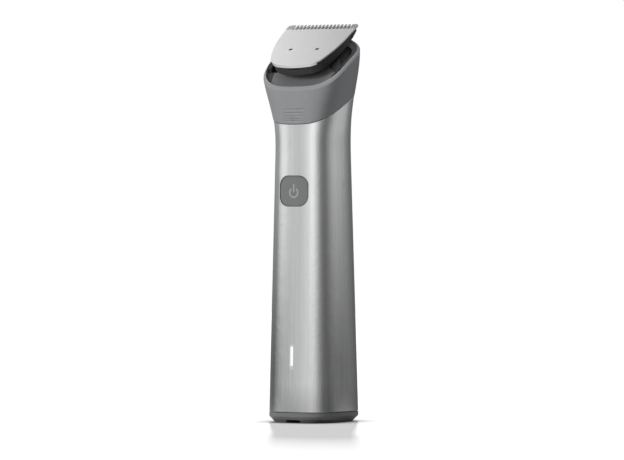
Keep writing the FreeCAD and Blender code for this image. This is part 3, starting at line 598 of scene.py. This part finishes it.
def moulded_plastic(name, colour, rough, grain=0.35, polish=0.12, wear_and_highlight=1.25, wear_and_highlight_width=0.35,
                    soft_edge=0.25, specular=0.4):
    """Grained plastic with polished patches and paler edges."""
    made, tree, shader = start_finish(name, specular=specular)
    marks = effect(tree, "Handling Marks", Size=TOUCH_SIZE, Cover=TOUCH_COVER)["Mask"]
    pale_edges = effect(tree, "Edge Wear", Width=wear_and_highlight_width)["Mask"]
    grain_height = effect(tree, "Fine Grain", Size=grain)["Height"]
    speckle = drawn_out(tree, grain_height, GRAIN_SPREAD)
    body = blend_colours(tree, speckle, shaded(colour, 1.0 - SPECKLE), shaded(colour, 1.0 + SPECKLE))
    body = blend_colours(tree, product(tree, marks, TOUCH_SHARE), body, shaded(colour, TOUCH_PALER))
    # Paler edges: wear, and on the collar also a painted highlight along the rim
    body = blend_colours(tree, pale_edges, body, shaded(colour, wear_and_highlight))
    tree.links.new(body, shader.inputs["Base Color"])
    dull = calculate(tree, "SUBTRACT", between(tree, marks, rough, rough - polish),
                     product(tree, pale_edges, EDGE_GLOSS))
    tree.links.new(dull, shader.inputs["Roughness"])
    raise_surface(tree, shader, grain_height, GRAIN_DEPTH, soft_edge)
    return made


FINISHES = {
    "black_plastic": moulded_plastic("black_plastic", (0.026, 0.026, 0.028), 0.55, wear_and_highlight=1.7),
    "cap_grey": moulded_plastic("cap_grey", (0.165, 0.166, 0.170), 0.50),
    "chassis_plastic": moulded_plastic("chassis_plastic", (0.10, 0.10, 0.105), 0.62, grain=0.6),
    "switch_black": moulded_plastic("switch_black", (0.04, 0.04, 0.04), 0.5, grain=0.2, soft_edge=0.1),
    "plunger_white": moulded_plastic("plunger_white", (0.80, 0.80, 0.76), 0.45, grain=0.2, soft_edge=0.1,
                                     wear_and_highlight=0.9),
    "button_grey": moulded_plastic("button_grey", (0.172, 0.177, 0.174), 0.50, wear_and_highlight=1.35, soft_edge=0.2),
    "icon_grey": moulded_plastic("icon_grey", (0.30, 0.34, 0.315), 0.45, grain=0.2, soft_edge=0.05),
    "drive_white": moulded_plastic("drive_white", (0.78, 0.78, 0.75), 0.42, wear_and_highlight=0.92),
}
print("plastic finishes:", len(FINISHES))

# %% [markdown]
# ## The collar
#
# The collar is the same kind of plastic in a satin grey, with a slightly cool tint. The pale
# band along its edges is wider and paler than on the other pieces: partly wear, and partly
# a painted highlight along the rim. The lip behind the head is black on its inner side.
# The mask for that inner side asks where a face is, and which way it looks.

# %% Collar finish
LIP_START = 8.5
LIP_END = 10.0
LIP_LOW = 150.0
LIP_FADE = 1.0
LIP_BLACK = grey(0.02)
# How far a face points back and up, as parts of its normal along Y and Z
LIP_FRONT_WAY = (0.3, 0.4)
LIP_UP_WAY = (0.1, 0.25)


def faces_away(tree, axis, low, high):
    """1 where the surface points less than the low value along an axis, 0 above the high one."""
    normal = add(tree, "NewGeometry").outputs["True Normal"]
    part = add(tree, "SeparateXYZ", {0: normal}).outputs[axis]
    return remap(tree, part, low, high, 1.0, 0.0)


def collar_plastic(name):
    """Satin grey with wide paler edges, and black on the inner side of the lip at the back."""
    # The wide pale band along the edges is wear and, along the rim, a painted highlight
    made = moulded_plastic(name, (0.250, 0.255, 0.265), 0.42, grain=0.3, polish=0.06, wear_and_highlight=1.65,
                           wear_and_highlight_width=0.7, soft_edge=0.6, specular=0.5)
    tree, shader, body = reopen(made)
    place = separate_axes(tree)
    behind = remap(tree, place["Y"], LIP_START, LIP_END, 0.0, 1.0)
    high = remap(tree, place["Z"], LIP_LOW, LIP_LOW + LIP_FADE, 0.0, 1.0)
    to_front = faces_away(tree, "Y", *LIP_FRONT_WAY)
    inside = largest(tree, to_front, opposite(tree, faces_away(tree, "Z", *LIP_UP_WAY)))
    lip = product(tree, behind, high, inside)
    tree.links.new(blend_colours(tree, lip, body, LIP_BLACK), shader.inputs["Base Color"])
    return made


FINISHES["grey_collar"] = collar_plastic("grey_collar")
print("collar finish ready")

# %% [markdown]
# ## Deck and bay
#
# The deck under the head is grey, and its two ends get painted shade, black like the bay
# behind them, so that the grey reads as a tongue with slanted sides. The bay's lining is
# black at the rim. Deeper down it is greyer: painted light where little light reaches.

# %% Deck finish
TONGUE_HALF = 13.6
TONGUE_FADE = 0.2
TONGUE_FRONT = -11.0
TONGUE_TURN = -7.3
TONGUE_SPREAD_SHARE = 0.25
TONGUE_SLOPE = 1.38
DECK_END_SHADE = grey(0.03)


def deck_plastic(name):
    """Grey in a tongue that widens up to its turn and then narrows, with painted shade beside it."""
    made = moulded_plastic(name, (0.135, 0.135, 0.139), 0.60)
    tree, shader, body = reopen(made)
    place = separate_axes(tree)
    behind = largest(tree, calculate(tree, "SUBTRACT", place["Y"], TONGUE_TURN), 0.0)
    wider = remap(tree, place["Y"], TONGUE_FRONT, TONGUE_TURN, 0.0,
                  (TONGUE_TURN - TONGUE_FRONT) * TONGUE_SPREAD_SHARE, "LINEAR")
    aside = calculate(tree, "SUBTRACT", calculate(tree, "ABSOLUTE", place["X"]), wider)
    aside = calculate(tree, "ADD", aside, product(tree, behind, TONGUE_SLOPE))
    # Painted shade: beside the tongue the deck turns black, like the shaded gap next to it
    shaded_end = remap(tree, aside, TONGUE_HALF - TONGUE_FADE, TONGUE_HALF + TONGUE_FADE, 0.0, 1.0)
    tree.links.new(blend_colours(tree, shaded_end, body, DECK_END_SHADE), shader.inputs["Base Color"])
    return made


FINISHES["deck_grey"] = deck_plastic("deck_grey")
print("deck finish ready")

# %% Bay finish
RIM_Y = -2.3
RIM_Z = 149.6
RIM_SLOPE = 0.76
BAY_LIGHT_START = 1.5
BAY_LIGHT_FULL = 6.0
BAY_PAINTED_LIGHT = (0.12, 0.12, 0.124, 1.0)


def bay_plastic(name):
    """Black plastic that turns greyer with its depth below the slanted rim, as painted light."""
    made = moulded_plastic(name, (0.022, 0.022, 0.024), 0.60, wear_and_highlight=1.2)
    tree, shader, body = reopen(made)
    place = separate_axes(tree)
    climb = product(tree, calculate(tree, "SUBTRACT", place["Y"], RIM_Y), RIM_SLOPE)
    depth = calculate(tree, "SUBTRACT", calculate(tree, "ADD", climb, RIM_Z), place["Z"])
    # Painted light: the lining is greyer deeper in the bay, where little light reaches
    dust_and_painted_light = remap(tree, depth, BAY_LIGHT_START, BAY_LIGHT_FULL, 0.0, 1.0)
    tree.links.new(blend_colours(tree, dust_and_painted_light, body, BAY_PAINTED_LIGHT), shader.inputs["Base Color"])
    return made


FINISHES["bay_lining"] = bay_plastic("bay_lining")
print("bay finish ready")

# %% [markdown]
# ## Rubber seals
#
# The ring seals are soft and matt. Talcum from the mould stays on them as pale dust, so
# the same group of handling marks lightens them in blotches.

# %% Rubber
RUBBER_GRAIN = 0.25
RUBBER_DEPTH = 0.015
RUBBER_ROUGH = 0.7
TALCUM_SIZE = 3.0
TALCUM_COVER = 0.4
TALCUM_SHARE = 0.4
TALCUM_PALER = 2.4
TALCUM_ROUGH = 0.9


def seal_rubber(name, colour):
    """Matt rubber with pale blotches of talcum."""
    made, tree, shader = start_finish(name, specular=0.3)
    dust_and_painted_light = effect(tree, "Handling Marks", Size=TALCUM_SIZE, Cover=TALCUM_COVER)["Mask"]
    grain_height = effect(tree, "Fine Grain", Size=RUBBER_GRAIN)["Height"]
    dusty = product(tree, dust_and_painted_light, TALCUM_SHARE)
    body = blend_colours(tree, dusty, shaded(colour, 1.0), shaded(colour, TALCUM_PALER))
    tree.links.new(body, shader.inputs["Base Color"])
    tree.links.new(between(tree, dust_and_painted_light, RUBBER_ROUGH, TALCUM_ROUGH), shader.inputs["Roughness"])
    raise_surface(tree, shader, grain_height, RUBBER_DEPTH)
    return made


FINISHES["seal_rubber"] = seal_rubber("seal_rubber", (0.03, 0.03, 0.03))
print("rubber ready")

# %% [markdown]
# ## Steel
#
# The sleeve is drawn steel, brushed along its length, and the blade is ground across.
# A real scratch pattern is far finer than a pixel, so it does two jobs here: a shallow
# bump that spreads the reflections, and long soft streaks in the colour and roughness
# that the eye reads as brushed metal. A burnished edge is brighter than the face.

# %% Metal
STREAK_SPREAD = 0.15
SMUDGE_SIZE = 14.0
SMUDGE_COVER = 0.35
SMUDGE_DARKER = 0.93
SMUDGE_DULL_SHARE = 0.2
DULL_NOISE_SPREAD = 0.2
DULL_CHANGE = 0.15


def worked_metal(name, colour, rough, width=0.12, length=40.0, depth=0.004, streaks=0.10,
                 wear_and_highlight=1.15, wear_and_highlight_width=0.2, soft_edge=0.0, marked=0.25):
    """Metal with lines along the trimmer, faint marks and bright edges."""
    made, tree, shader = start_finish(name, metallic=1.0)
    lines = effect(tree, "Brushed Lines", Width=width, Length=length)
    marks = effect(tree, "Handling Marks", Size=SMUDGE_SIZE, Cover=SMUDGE_COVER)["Mask"]
    pale_edges = effect(tree, "Edge Wear", Width=wear_and_highlight_width)["Mask"]
    streak = drawn_out(tree, lines["Shade"], STREAK_SPREAD)
    body = blend_colours(tree, streak, shaded(colour, 1.0 - streaks), shaded(colour, 1.0 + streaks / 2))
    body = blend_colours(tree, product(tree, marks, marked), body, shaded(colour, SMUDGE_DARKER))
    body = blend_colours(tree, pale_edges, body, shaded(colour, wear_and_highlight))
    tree.links.new(body, shader.inputs["Base Color"])
    dull = drawn_out(tree, lines["Shade"], DULL_NOISE_SPREAD, rough * (1.0 - DULL_CHANGE),
                     rough * (1.0 + DULL_CHANGE))
    dull = calculate(tree, "ADD", dull, product(tree, marks, marked * SMUDGE_DULL_SHARE))
    tree.links.new(dull, shader.inputs["Roughness"])
    raise_surface(tree, shader, lines["Height"], depth, soft_edge)
    return made


FINISHES.update({
    # The cutter's darker grey is painted shade, for the shade it lies in under the guard's teeth
    "cutter_steel": worked_metal("cutter_steel", (0.34, 0.34, 0.35), 0.35, width=0.5, length=0.05),
    "spring_steel": worked_metal("spring_steel", (0.62, 0.63, 0.65), 0.25, width=0.1, length=4.0),
    "shaft_steel": worked_metal("shaft_steel", (0.68, 0.68, 0.70), 0.18, width=4.0, length=0.05),
    "screw_steel": worked_metal("screw_steel", (0.62, 0.62, 0.64), 0.28, width=0.4, length=0.2),
    "motor_steel": worked_metal("motor_steel", (0.55, 0.55, 0.56), 0.34, width=6.0, length=0.12),
    "contact_metal": worked_metal("contact_metal", (0.75, 0.60, 0.30), 0.30, width=0.2, length=6.0),
})
print("finishes so far:", len(FINISHES))

# %% [markdown]
# ## The blade
#
# The guard blade is ground plate. Its teeth are darker than its face, and the face darkens
# from one side to the other: both are painted shade, for the way the light falls on them.
# The blade lies at a slant, so the distance from its front edge is measured along that slant.

# %% Blade finish
BLADE_FRONT = 18.0
BLADE_LOW = 146.8
BLADE_TILT = math.radians(34.1)
TOOTH_ROOT = 27.6
TOOTH_FADE = 0.8
TOOTH_PAINTED_SHADE = 0.34
SIDE_SHADE_START = -10.0
SIDE_SHADE_END = 20.0
SIDE_SHADE_SLANT = 0.4
SIDE_SHADE_DARKENING = 0.28


def ground_blade(name):
    """Ground steel, with painted shade towards one side and on the teeth."""
    made = worked_metal(name, (0.87, 0.87, 0.875), 0.42, width=0.15, length=0.15, depth=0.008,
                        streaks=0.05, wear_and_highlight=1.2, wear_and_highlight_width=0.3, soft_edge=0.12)
    tree, shader, body = reopen(made)
    place = separate_axes(tree)
    back = product(tree, calculate(tree, "ADD", place["Y"], BLADE_FRONT), math.cos(BLADE_TILT))
    up = product(tree, calculate(tree, "SUBTRACT", place["Z"], BLADE_LOW), math.sin(BLADE_TILT))
    teeth = remap(tree, calculate(tree, "ADD", back, up), TOOTH_ROOT, TOOTH_ROOT + TOOTH_FADE, 0.0, 1.0)
    # Painted shade: the face darkens towards the trimmer's right side
    aside = calculate(tree, "ADD", place["X"], product(tree, back, SIDE_SHADE_SLANT))
    side_shade = remap(tree, aside, SIDE_SHADE_START, SIDE_SHADE_END, 0.0, 1.0, "LINEAR")
    body = blend_colours(tree, product(tree, side_shade, SIDE_SHADE_DARKENING), body, grey(0.0))
    # Painted shade: the teeth are darker than the face
    body = blend_colours(tree, product(tree, teeth, TOOTH_PAINTED_SHADE), body, grey(0.0))
    tree.links.new(body, shader.inputs["Base Color"])
    return made


FINISHES["blade_steel"] = ground_blade("blade_steel")
print("blade finish ready")

# %% [markdown]
# ## The handle's sleeve
#
# The lit slit throws a soft glow on the steel beside it. The camera sees that as a halo,
# and the finish gives it by the distance from the slit, a little further past its ends.
# The cut faces of the button's opening are painted nearly black, as painted shade in the
# gap round the button. The last half millimetre of the steel above the base is painted
# shade for the joint, and above it the foot is a little darker, also painted shade.

# %% Halo of the lit slit
SLIT_MIDDLE = 27.2
SLIT_STRAIGHT_HALF = 3.6
HALO_START = 0.3
HALO_REACH = 2.0
HALO_END_SHARE = 0.7
HALO_POWER = 2.0


def slit_halo(tree, place):
    """1 beside the lit slit, falling to 0 at the halo's reach."""
    along = calculate(tree, "ABSOLUTE", calculate(tree, "SUBTRACT", place["Z"], SLIT_MIDDLE))
    past_end = largest(tree, calculate(tree, "SUBTRACT", along, SLIT_STRAIGHT_HALF), 0.0)
    near = add(tree, "CombineXYZ", {"X": place["X"], "Z": product(tree, past_end, HALO_END_SHARE)})
    distance = add(tree, "VectorMath", {0: near.outputs[0]}, operation="LENGTH").outputs["Value"]
    return calculate(tree, "POWER", remap(tree, distance, HALO_START, HALO_REACH, 1.0, 0.0), HALO_POWER)


print("halo reaches", HALO_REACH, "mm")

# %% Cut faces of the button's opening
OPENING_LOW = 86.0
OPENING_HIGH = 105.0
OPENING_HALF_WIDTH = 7.1
OPENING_WAY = (-0.80, -0.60)


def opening_faces(tree, place):
    """1 on what looks aside, up or down within the bounds of the button's opening."""
    cut = opposite(tree, faces_away(tree, "Y", *OPENING_WAY))
    above = calculate(tree, "GREATER_THAN", place["Z"], OPENING_LOW)
    below = calculate(tree, "LESS_THAN", place["Z"], OPENING_HIGH)
    within = calculate(tree, "LESS_THAN", calculate(tree, "ABSOLUTE", place["X"]), OPENING_HALF_WIDTH)
    return product(tree, cut, above, below, within)


print("opening is", 2 * OPENING_HALF_WIDTH, "mm wide and", OPENING_HIGH - OPENING_LOW, "mm high at most")

# %% Sleeve finish
FRONT_START = -12.0
FRONT_FULL = -16.0
HALO_LIGHT = 0.17
JOINT_HEIGHT = 4.5
JOINT_FADE = 0.5
JOINT_PAINTED_SHADE = 0.75
FOOT_FADE = 12.0
FOOT_PAINTED_SHADE = 0.35
SLEEVE_PAINTED_SHADE = grey(0.05)


def sleeve_steel(name):
    """Brushed steel with the slit's halo, and painted shade on the cut faces, the joint and the foot."""
    made = worked_metal(name, (0.74, 0.745, 0.75), 0.16, width=0.16, length=60.0, depth=0.0015,
                        streaks=0.05, wear_and_highlight=1.3, wear_and_highlight_width=0.25, soft_edge=0.3, marked=0.08)
    tree, shader, body = reopen(made)
    place = separate_axes(tree)
    front = remap(tree, place["Y"], FRONT_START, FRONT_FULL, 0.0, 1.0)
    halo = product(tree, slit_halo(tree, place), front)
    tree.links.new(blend_colours(tree, halo, grey(0.0), grey(1.0)), shader.inputs["Emission Color"])
    shader.inputs["Emission Strength"].default_value = HALO_LIGHT
    # Painted shade: the joint with the base and the foot above it are darkened
    joint_shade = remap(tree, place["Z"], JOINT_HEIGHT, JOINT_HEIGHT + JOINT_FADE, JOINT_PAINTED_SHADE, 0.0)
    foot = remap(tree, place["Z"], JOINT_HEIGHT, JOINT_HEIGHT + FOOT_FADE, FOOT_PAINTED_SHADE, 0.0, "LINEAR")
    # Painted shade: the cut faces of the button's opening are darkened, for the gap round the button
    sleeve_shade = largest(tree, product(tree, opening_faces(tree, place), front), joint_shade, foot)
    tree.links.new(blend_colours(tree, sleeve_shade, body, SLEEVE_PAINTED_SHADE), shader.inputs["Base Color"])
    return made


FINISHES["brushed_sleeve"] = sleeve_steel("brushed_sleeve")
print("sleeve finish ready")

# %% [markdown]
# ## Light, battery, board and motor
#
# These sit inside, and are seen when the head is lifted off or the trimmer is opened.
# They still get what one would notice: the diffuse white of a light guide, the shrink
# wrap of a cell with its lengthwise seam, the traces of a circuit board, the dull speckle
# of a pressed magnet and the laid turns of the winding.

# %% Light guide and lamp
WINDOW_FOOT = 23.0
WINDOW_FADE = 1.0
WINDOW_LEAST = 0.1
CLOUD_SIZE = 0.8
CLOUD_SPREAD = 0.2
CLOUD_DEPTH = 0.01
CLOUD_DARKER = 0.85
CLOUD_LIGHT_LEAST = 0.92
CLOUD_ROUGH = (0.3, 0.4)


def lit_plastic(name, colour, strength, unlit, foot):
    """Cloudy plastic with light in it, which fades out over the lowest millimetre."""
    made, tree, shader = start_finish(name, coat=0.3)
    cloud = effect(tree, "Fine Grain", Size=CLOUD_SIZE)["Height"]
    height = separate_axes(tree)["Z"]
    light = product(tree, drawn_out(tree, cloud, CLOUD_SPREAD, CLOUD_LIGHT_LEAST, 1.0),
                    remap(tree, height, foot, foot + WINDOW_FADE, WINDOW_LEAST, 1.0))
    glow = blend_colours(tree, light, grey(0.0), shaded(colour, 1.0))
    tree.links.new(glow, shader.inputs["Emission Color"])
    shader.inputs["Emission Strength"].default_value = strength
    dim = shaded(colour, unlit)
    tree.links.new(blend_colours(tree, cloud, shaded(dim, CLOUD_DARKER), dim), shader.inputs["Base Color"])
    tree.links.new(drawn_out(tree, cloud, CLOUD_SPREAD, *CLOUD_ROUGH), shader.inputs["Roughness"])
    raise_surface(tree, shader, cloud, CLOUD_DEPTH)
    return made


FINISHES["window_white"] = lit_plastic("window_white", (0.97, 0.97, 0.97), 0.68, unlit=0.5, foot=WINDOW_FOOT)
FINISHES["led_clear"] = lit_plastic("led_clear", (0.92, 0.92, 0.88), 1.0, unlit=1.0, foot=0.0)
print("light finishes ready")

# %% Battery wrap
SEAM_PLACE = 2.0
SEAM_HALF = 0.2
SEAM_END = 0.5
SEAM_DARKER = 0.5
RUB_SIZE = 8.0
RUB_COVER = 0.4
RUB_SHARE = 0.5
RUB_PALER = 1.4
RIPPLE_STRETCH = (4.0, 4.0, 1.2)
RIPPLE_DETAIL = 2.0
RIPPLE_SPREAD = 0.2
RIPPLE_DEPTH = 0.15
FILM_ROUGH = (0.2, 0.35)


def shrink_wrap(name, colour):
    """Glossy film that ripples a little, with rubbed patches and a dark seam."""
    made, tree, shader = start_finish(name, coat=0.5)
    ripple = noise(tree, surface_place(tree, RIPPLE_STRETCH), RIPPLE_DETAIL)
    beside = calculate(tree, "ABSOLUTE", calculate(tree, "SUBTRACT", separate_axes(tree)["X"], SEAM_PLACE))
    seam = remap(tree, beside, SEAM_HALF, SEAM_END, 1.0, 0.0)
    marks = effect(tree, "Handling Marks", Size=RUB_SIZE, Cover=RUB_COVER)["Mask"]
    rubbed = product(tree, marks, RUB_SHARE)
    film = blend_colours(tree, rubbed, shaded(colour, 1.0), shaded(colour, RUB_PALER))
    film = blend_colours(tree, seam, film, shaded(colour, SEAM_DARKER))
    tree.links.new(film, shader.inputs["Base Color"])
    tree.links.new(drawn_out(tree, ripple, RIPPLE_SPREAD, *FILM_ROUGH), shader.inputs["Roughness"])
    raise_surface(tree, shader, ripple, RIPPLE_DEPTH)
    return made


FINISHES["cell_wrap"] = shrink_wrap("cell_wrap", (0.05, 0.25, 0.14))
print("battery wrap ready")

# %% Circuit board
# The traces are the joints of a brick pattern, and the pads are round spots strewn over them
TRACES = {"Scale": 0.55, "Mortar Size": 0.06, "Mortar Smooth": 0.1, "Brick Width": 1.1, "Row Height": 2.6}
TRACE_OFFSET = 0.37
PADS = {"Scale": 1.0, "Randomness": 0.55}
PAD_STRETCH = (2.3, 40.0, 2.9)
PAD_EDGE = 0.17
PAD_END = 0.20
TINNED = (0.62, 0.60, 0.52, 1.0)
TRACE_PALER = 2.2
TRACE_DEPTH = 0.04
LACQUER_ROUGH = 0.4
PAD_ROUGH = 0.3


def solder_mask(name, colour):
    """Green lacquer over copper traces, with tinned pads."""
    made, tree, shader = start_finish(name, coat=0.4)
    bricks = {"Vector": surface_place(tree), **TRACES}
    lanes = add(tree, "TexBrick", bricks, offset=TRACE_OFFSET).outputs["Fac"]
    pads = add(tree, "TexVoronoi", {"Vector": surface_place(tree, PAD_STRETCH), **PADS})
    pad = remap(tree, pads.outputs["Distance"], PAD_EDGE, PAD_END, 1.0, 0.0)
    lacquer = blend_colours(tree, lanes, shaded(colour, 1.0), shaded(colour, TRACE_PALER))
    tree.links.new(blend_colours(tree, pad, lacquer, TINNED), shader.inputs["Base Color"])
    tree.links.new(pad, shader.inputs["Metallic"])
    tree.links.new(between(tree, pad, LACQUER_ROUGH, PAD_ROUGH), shader.inputs["Roughness"])
    raise_surface(tree, shader, calculate(tree, "ADD", pad, lanes), TRACE_DEPTH)
    return made


FINISHES["board_green"] = solder_mask("board_green", (0.02, 0.11, 0.045))
print("board finish ready")

# %% Magnets
POWDER_GRAIN = 0.5
POWDER_DEPTH = 0.05
GLINT_START = 0.58
GLINT_FULL = 0.70
GLINT_PALER = 2.6
GLINT_METAL = 0.6
POWDER_WEAR = 1.8
POWDER_WEAR_WIDTH = 0.3
POWDER_ROUGH = 0.75
GLINT_ROUGH = 0.4


def pressed_powder(name, colour):
    """The speckled, slightly glittering face of a sintered magnet."""
    made, tree, shader = start_finish(name)
    grain_height = effect(tree, "Fine Grain", Size=POWDER_GRAIN)["Height"]
    glint = remap(tree, grain_height, GLINT_START, GLINT_FULL, 0.0, 1.0)
    pale_edges = effect(tree, "Edge Wear", Width=POWDER_WEAR_WIDTH)["Mask"]
    body = blend_colours(tree, glint, shaded(colour, 1.0), shaded(colour, GLINT_PALER))
    tree.links.new(blend_colours(tree, pale_edges, body, shaded(colour, POWDER_WEAR)), shader.inputs["Base Color"])
    tree.links.new(between(tree, glint, POWDER_ROUGH, GLINT_ROUGH), shader.inputs["Roughness"])
    tree.links.new(product(tree, glint, GLINT_METAL), shader.inputs["Metallic"])
    raise_surface(tree, shader, grain_height, POWDER_DEPTH)
    return made


FINISHES["magnet_black"] = pressed_powder("magnet_black", (0.06, 0.06, 0.06))
print("magnet finish ready")

# %% Winding
TURNS = {"Scale": 0.8, "Distortion": 0.4, "Detail": 1.0}
TURN_DEPTH = 0.2
TURN_GAP_SHADE = 0.45
ENAMEL_WEAR_SIZE = 4.0
ENAMEL_WEAR_COVER = 0.5
ENAMEL_WEAR_SHARE = 0.4
ENAMEL_WEAR_DARKER = 0.7
ENAMEL_ROUGH = 0.3
ENAMEL_WORN_ROUGH = 0.45


def laid_turns(name, colour):
    """Enamelled copper wire laid turn beside turn."""
    made, tree, shader = start_finish(name, metallic=0.9, coat=0.4)
    turns = add(tree, "TexWave", {"Vector": surface_place(tree), **TURNS}, bands_direction="Z",
                wave_profile="SIN").outputs["Fac"]
    marks = effect(tree, "Handling Marks", Size=ENAMEL_WEAR_SIZE, Cover=ENAMEL_WEAR_COVER)["Mask"]
    # Painted shade in the gaps between the turns
    body = blend_colours(tree, turns, shaded(colour, TURN_GAP_SHADE), shaded(colour, 1.0))
    rubbed = product(tree, marks, ENAMEL_WEAR_SHARE)
    body = blend_colours(tree, rubbed, body, shaded(colour, ENAMEL_WEAR_DARKER))
    tree.links.new(body, shader.inputs["Base Color"])
    tree.links.new(between(tree, marks, ENAMEL_ROUGH, ENAMEL_WORN_ROUGH), shader.inputs["Roughness"])
    raise_surface(tree, shader, turns, TURN_DEPTH)
    return made


FINISHES["armature_copper"] = laid_turns("armature_copper", (0.62, 0.30, 0.16))
print("finishes in all:", len(FINISHES))

# %% [markdown]
# ## Dressing the CAD pieces
#
# The imported record says which finish each CAD piece has. Every piece gets the finish of
# its slot in all its material slots. Only the lining of the head's bay differs from the
# other black parts: it has painted light in its depth.

# %% Dress every CAD piece
slot_of = {part["node"]: part["material_slot"] for part in frame["record"]["subparts"]}
own_finish = {"bay_liner": "bay_lining"}
for name, piece in nodes.items():
    finish = FINISHES[own_finish.get(name, slot_of[name])]
    if not piece.material_slots:
        piece.data.materials.append(finish)
    for place in piece.material_slots:
        place.link = "OBJECT"
        place.material = finish
print("dressed:", len(nodes))
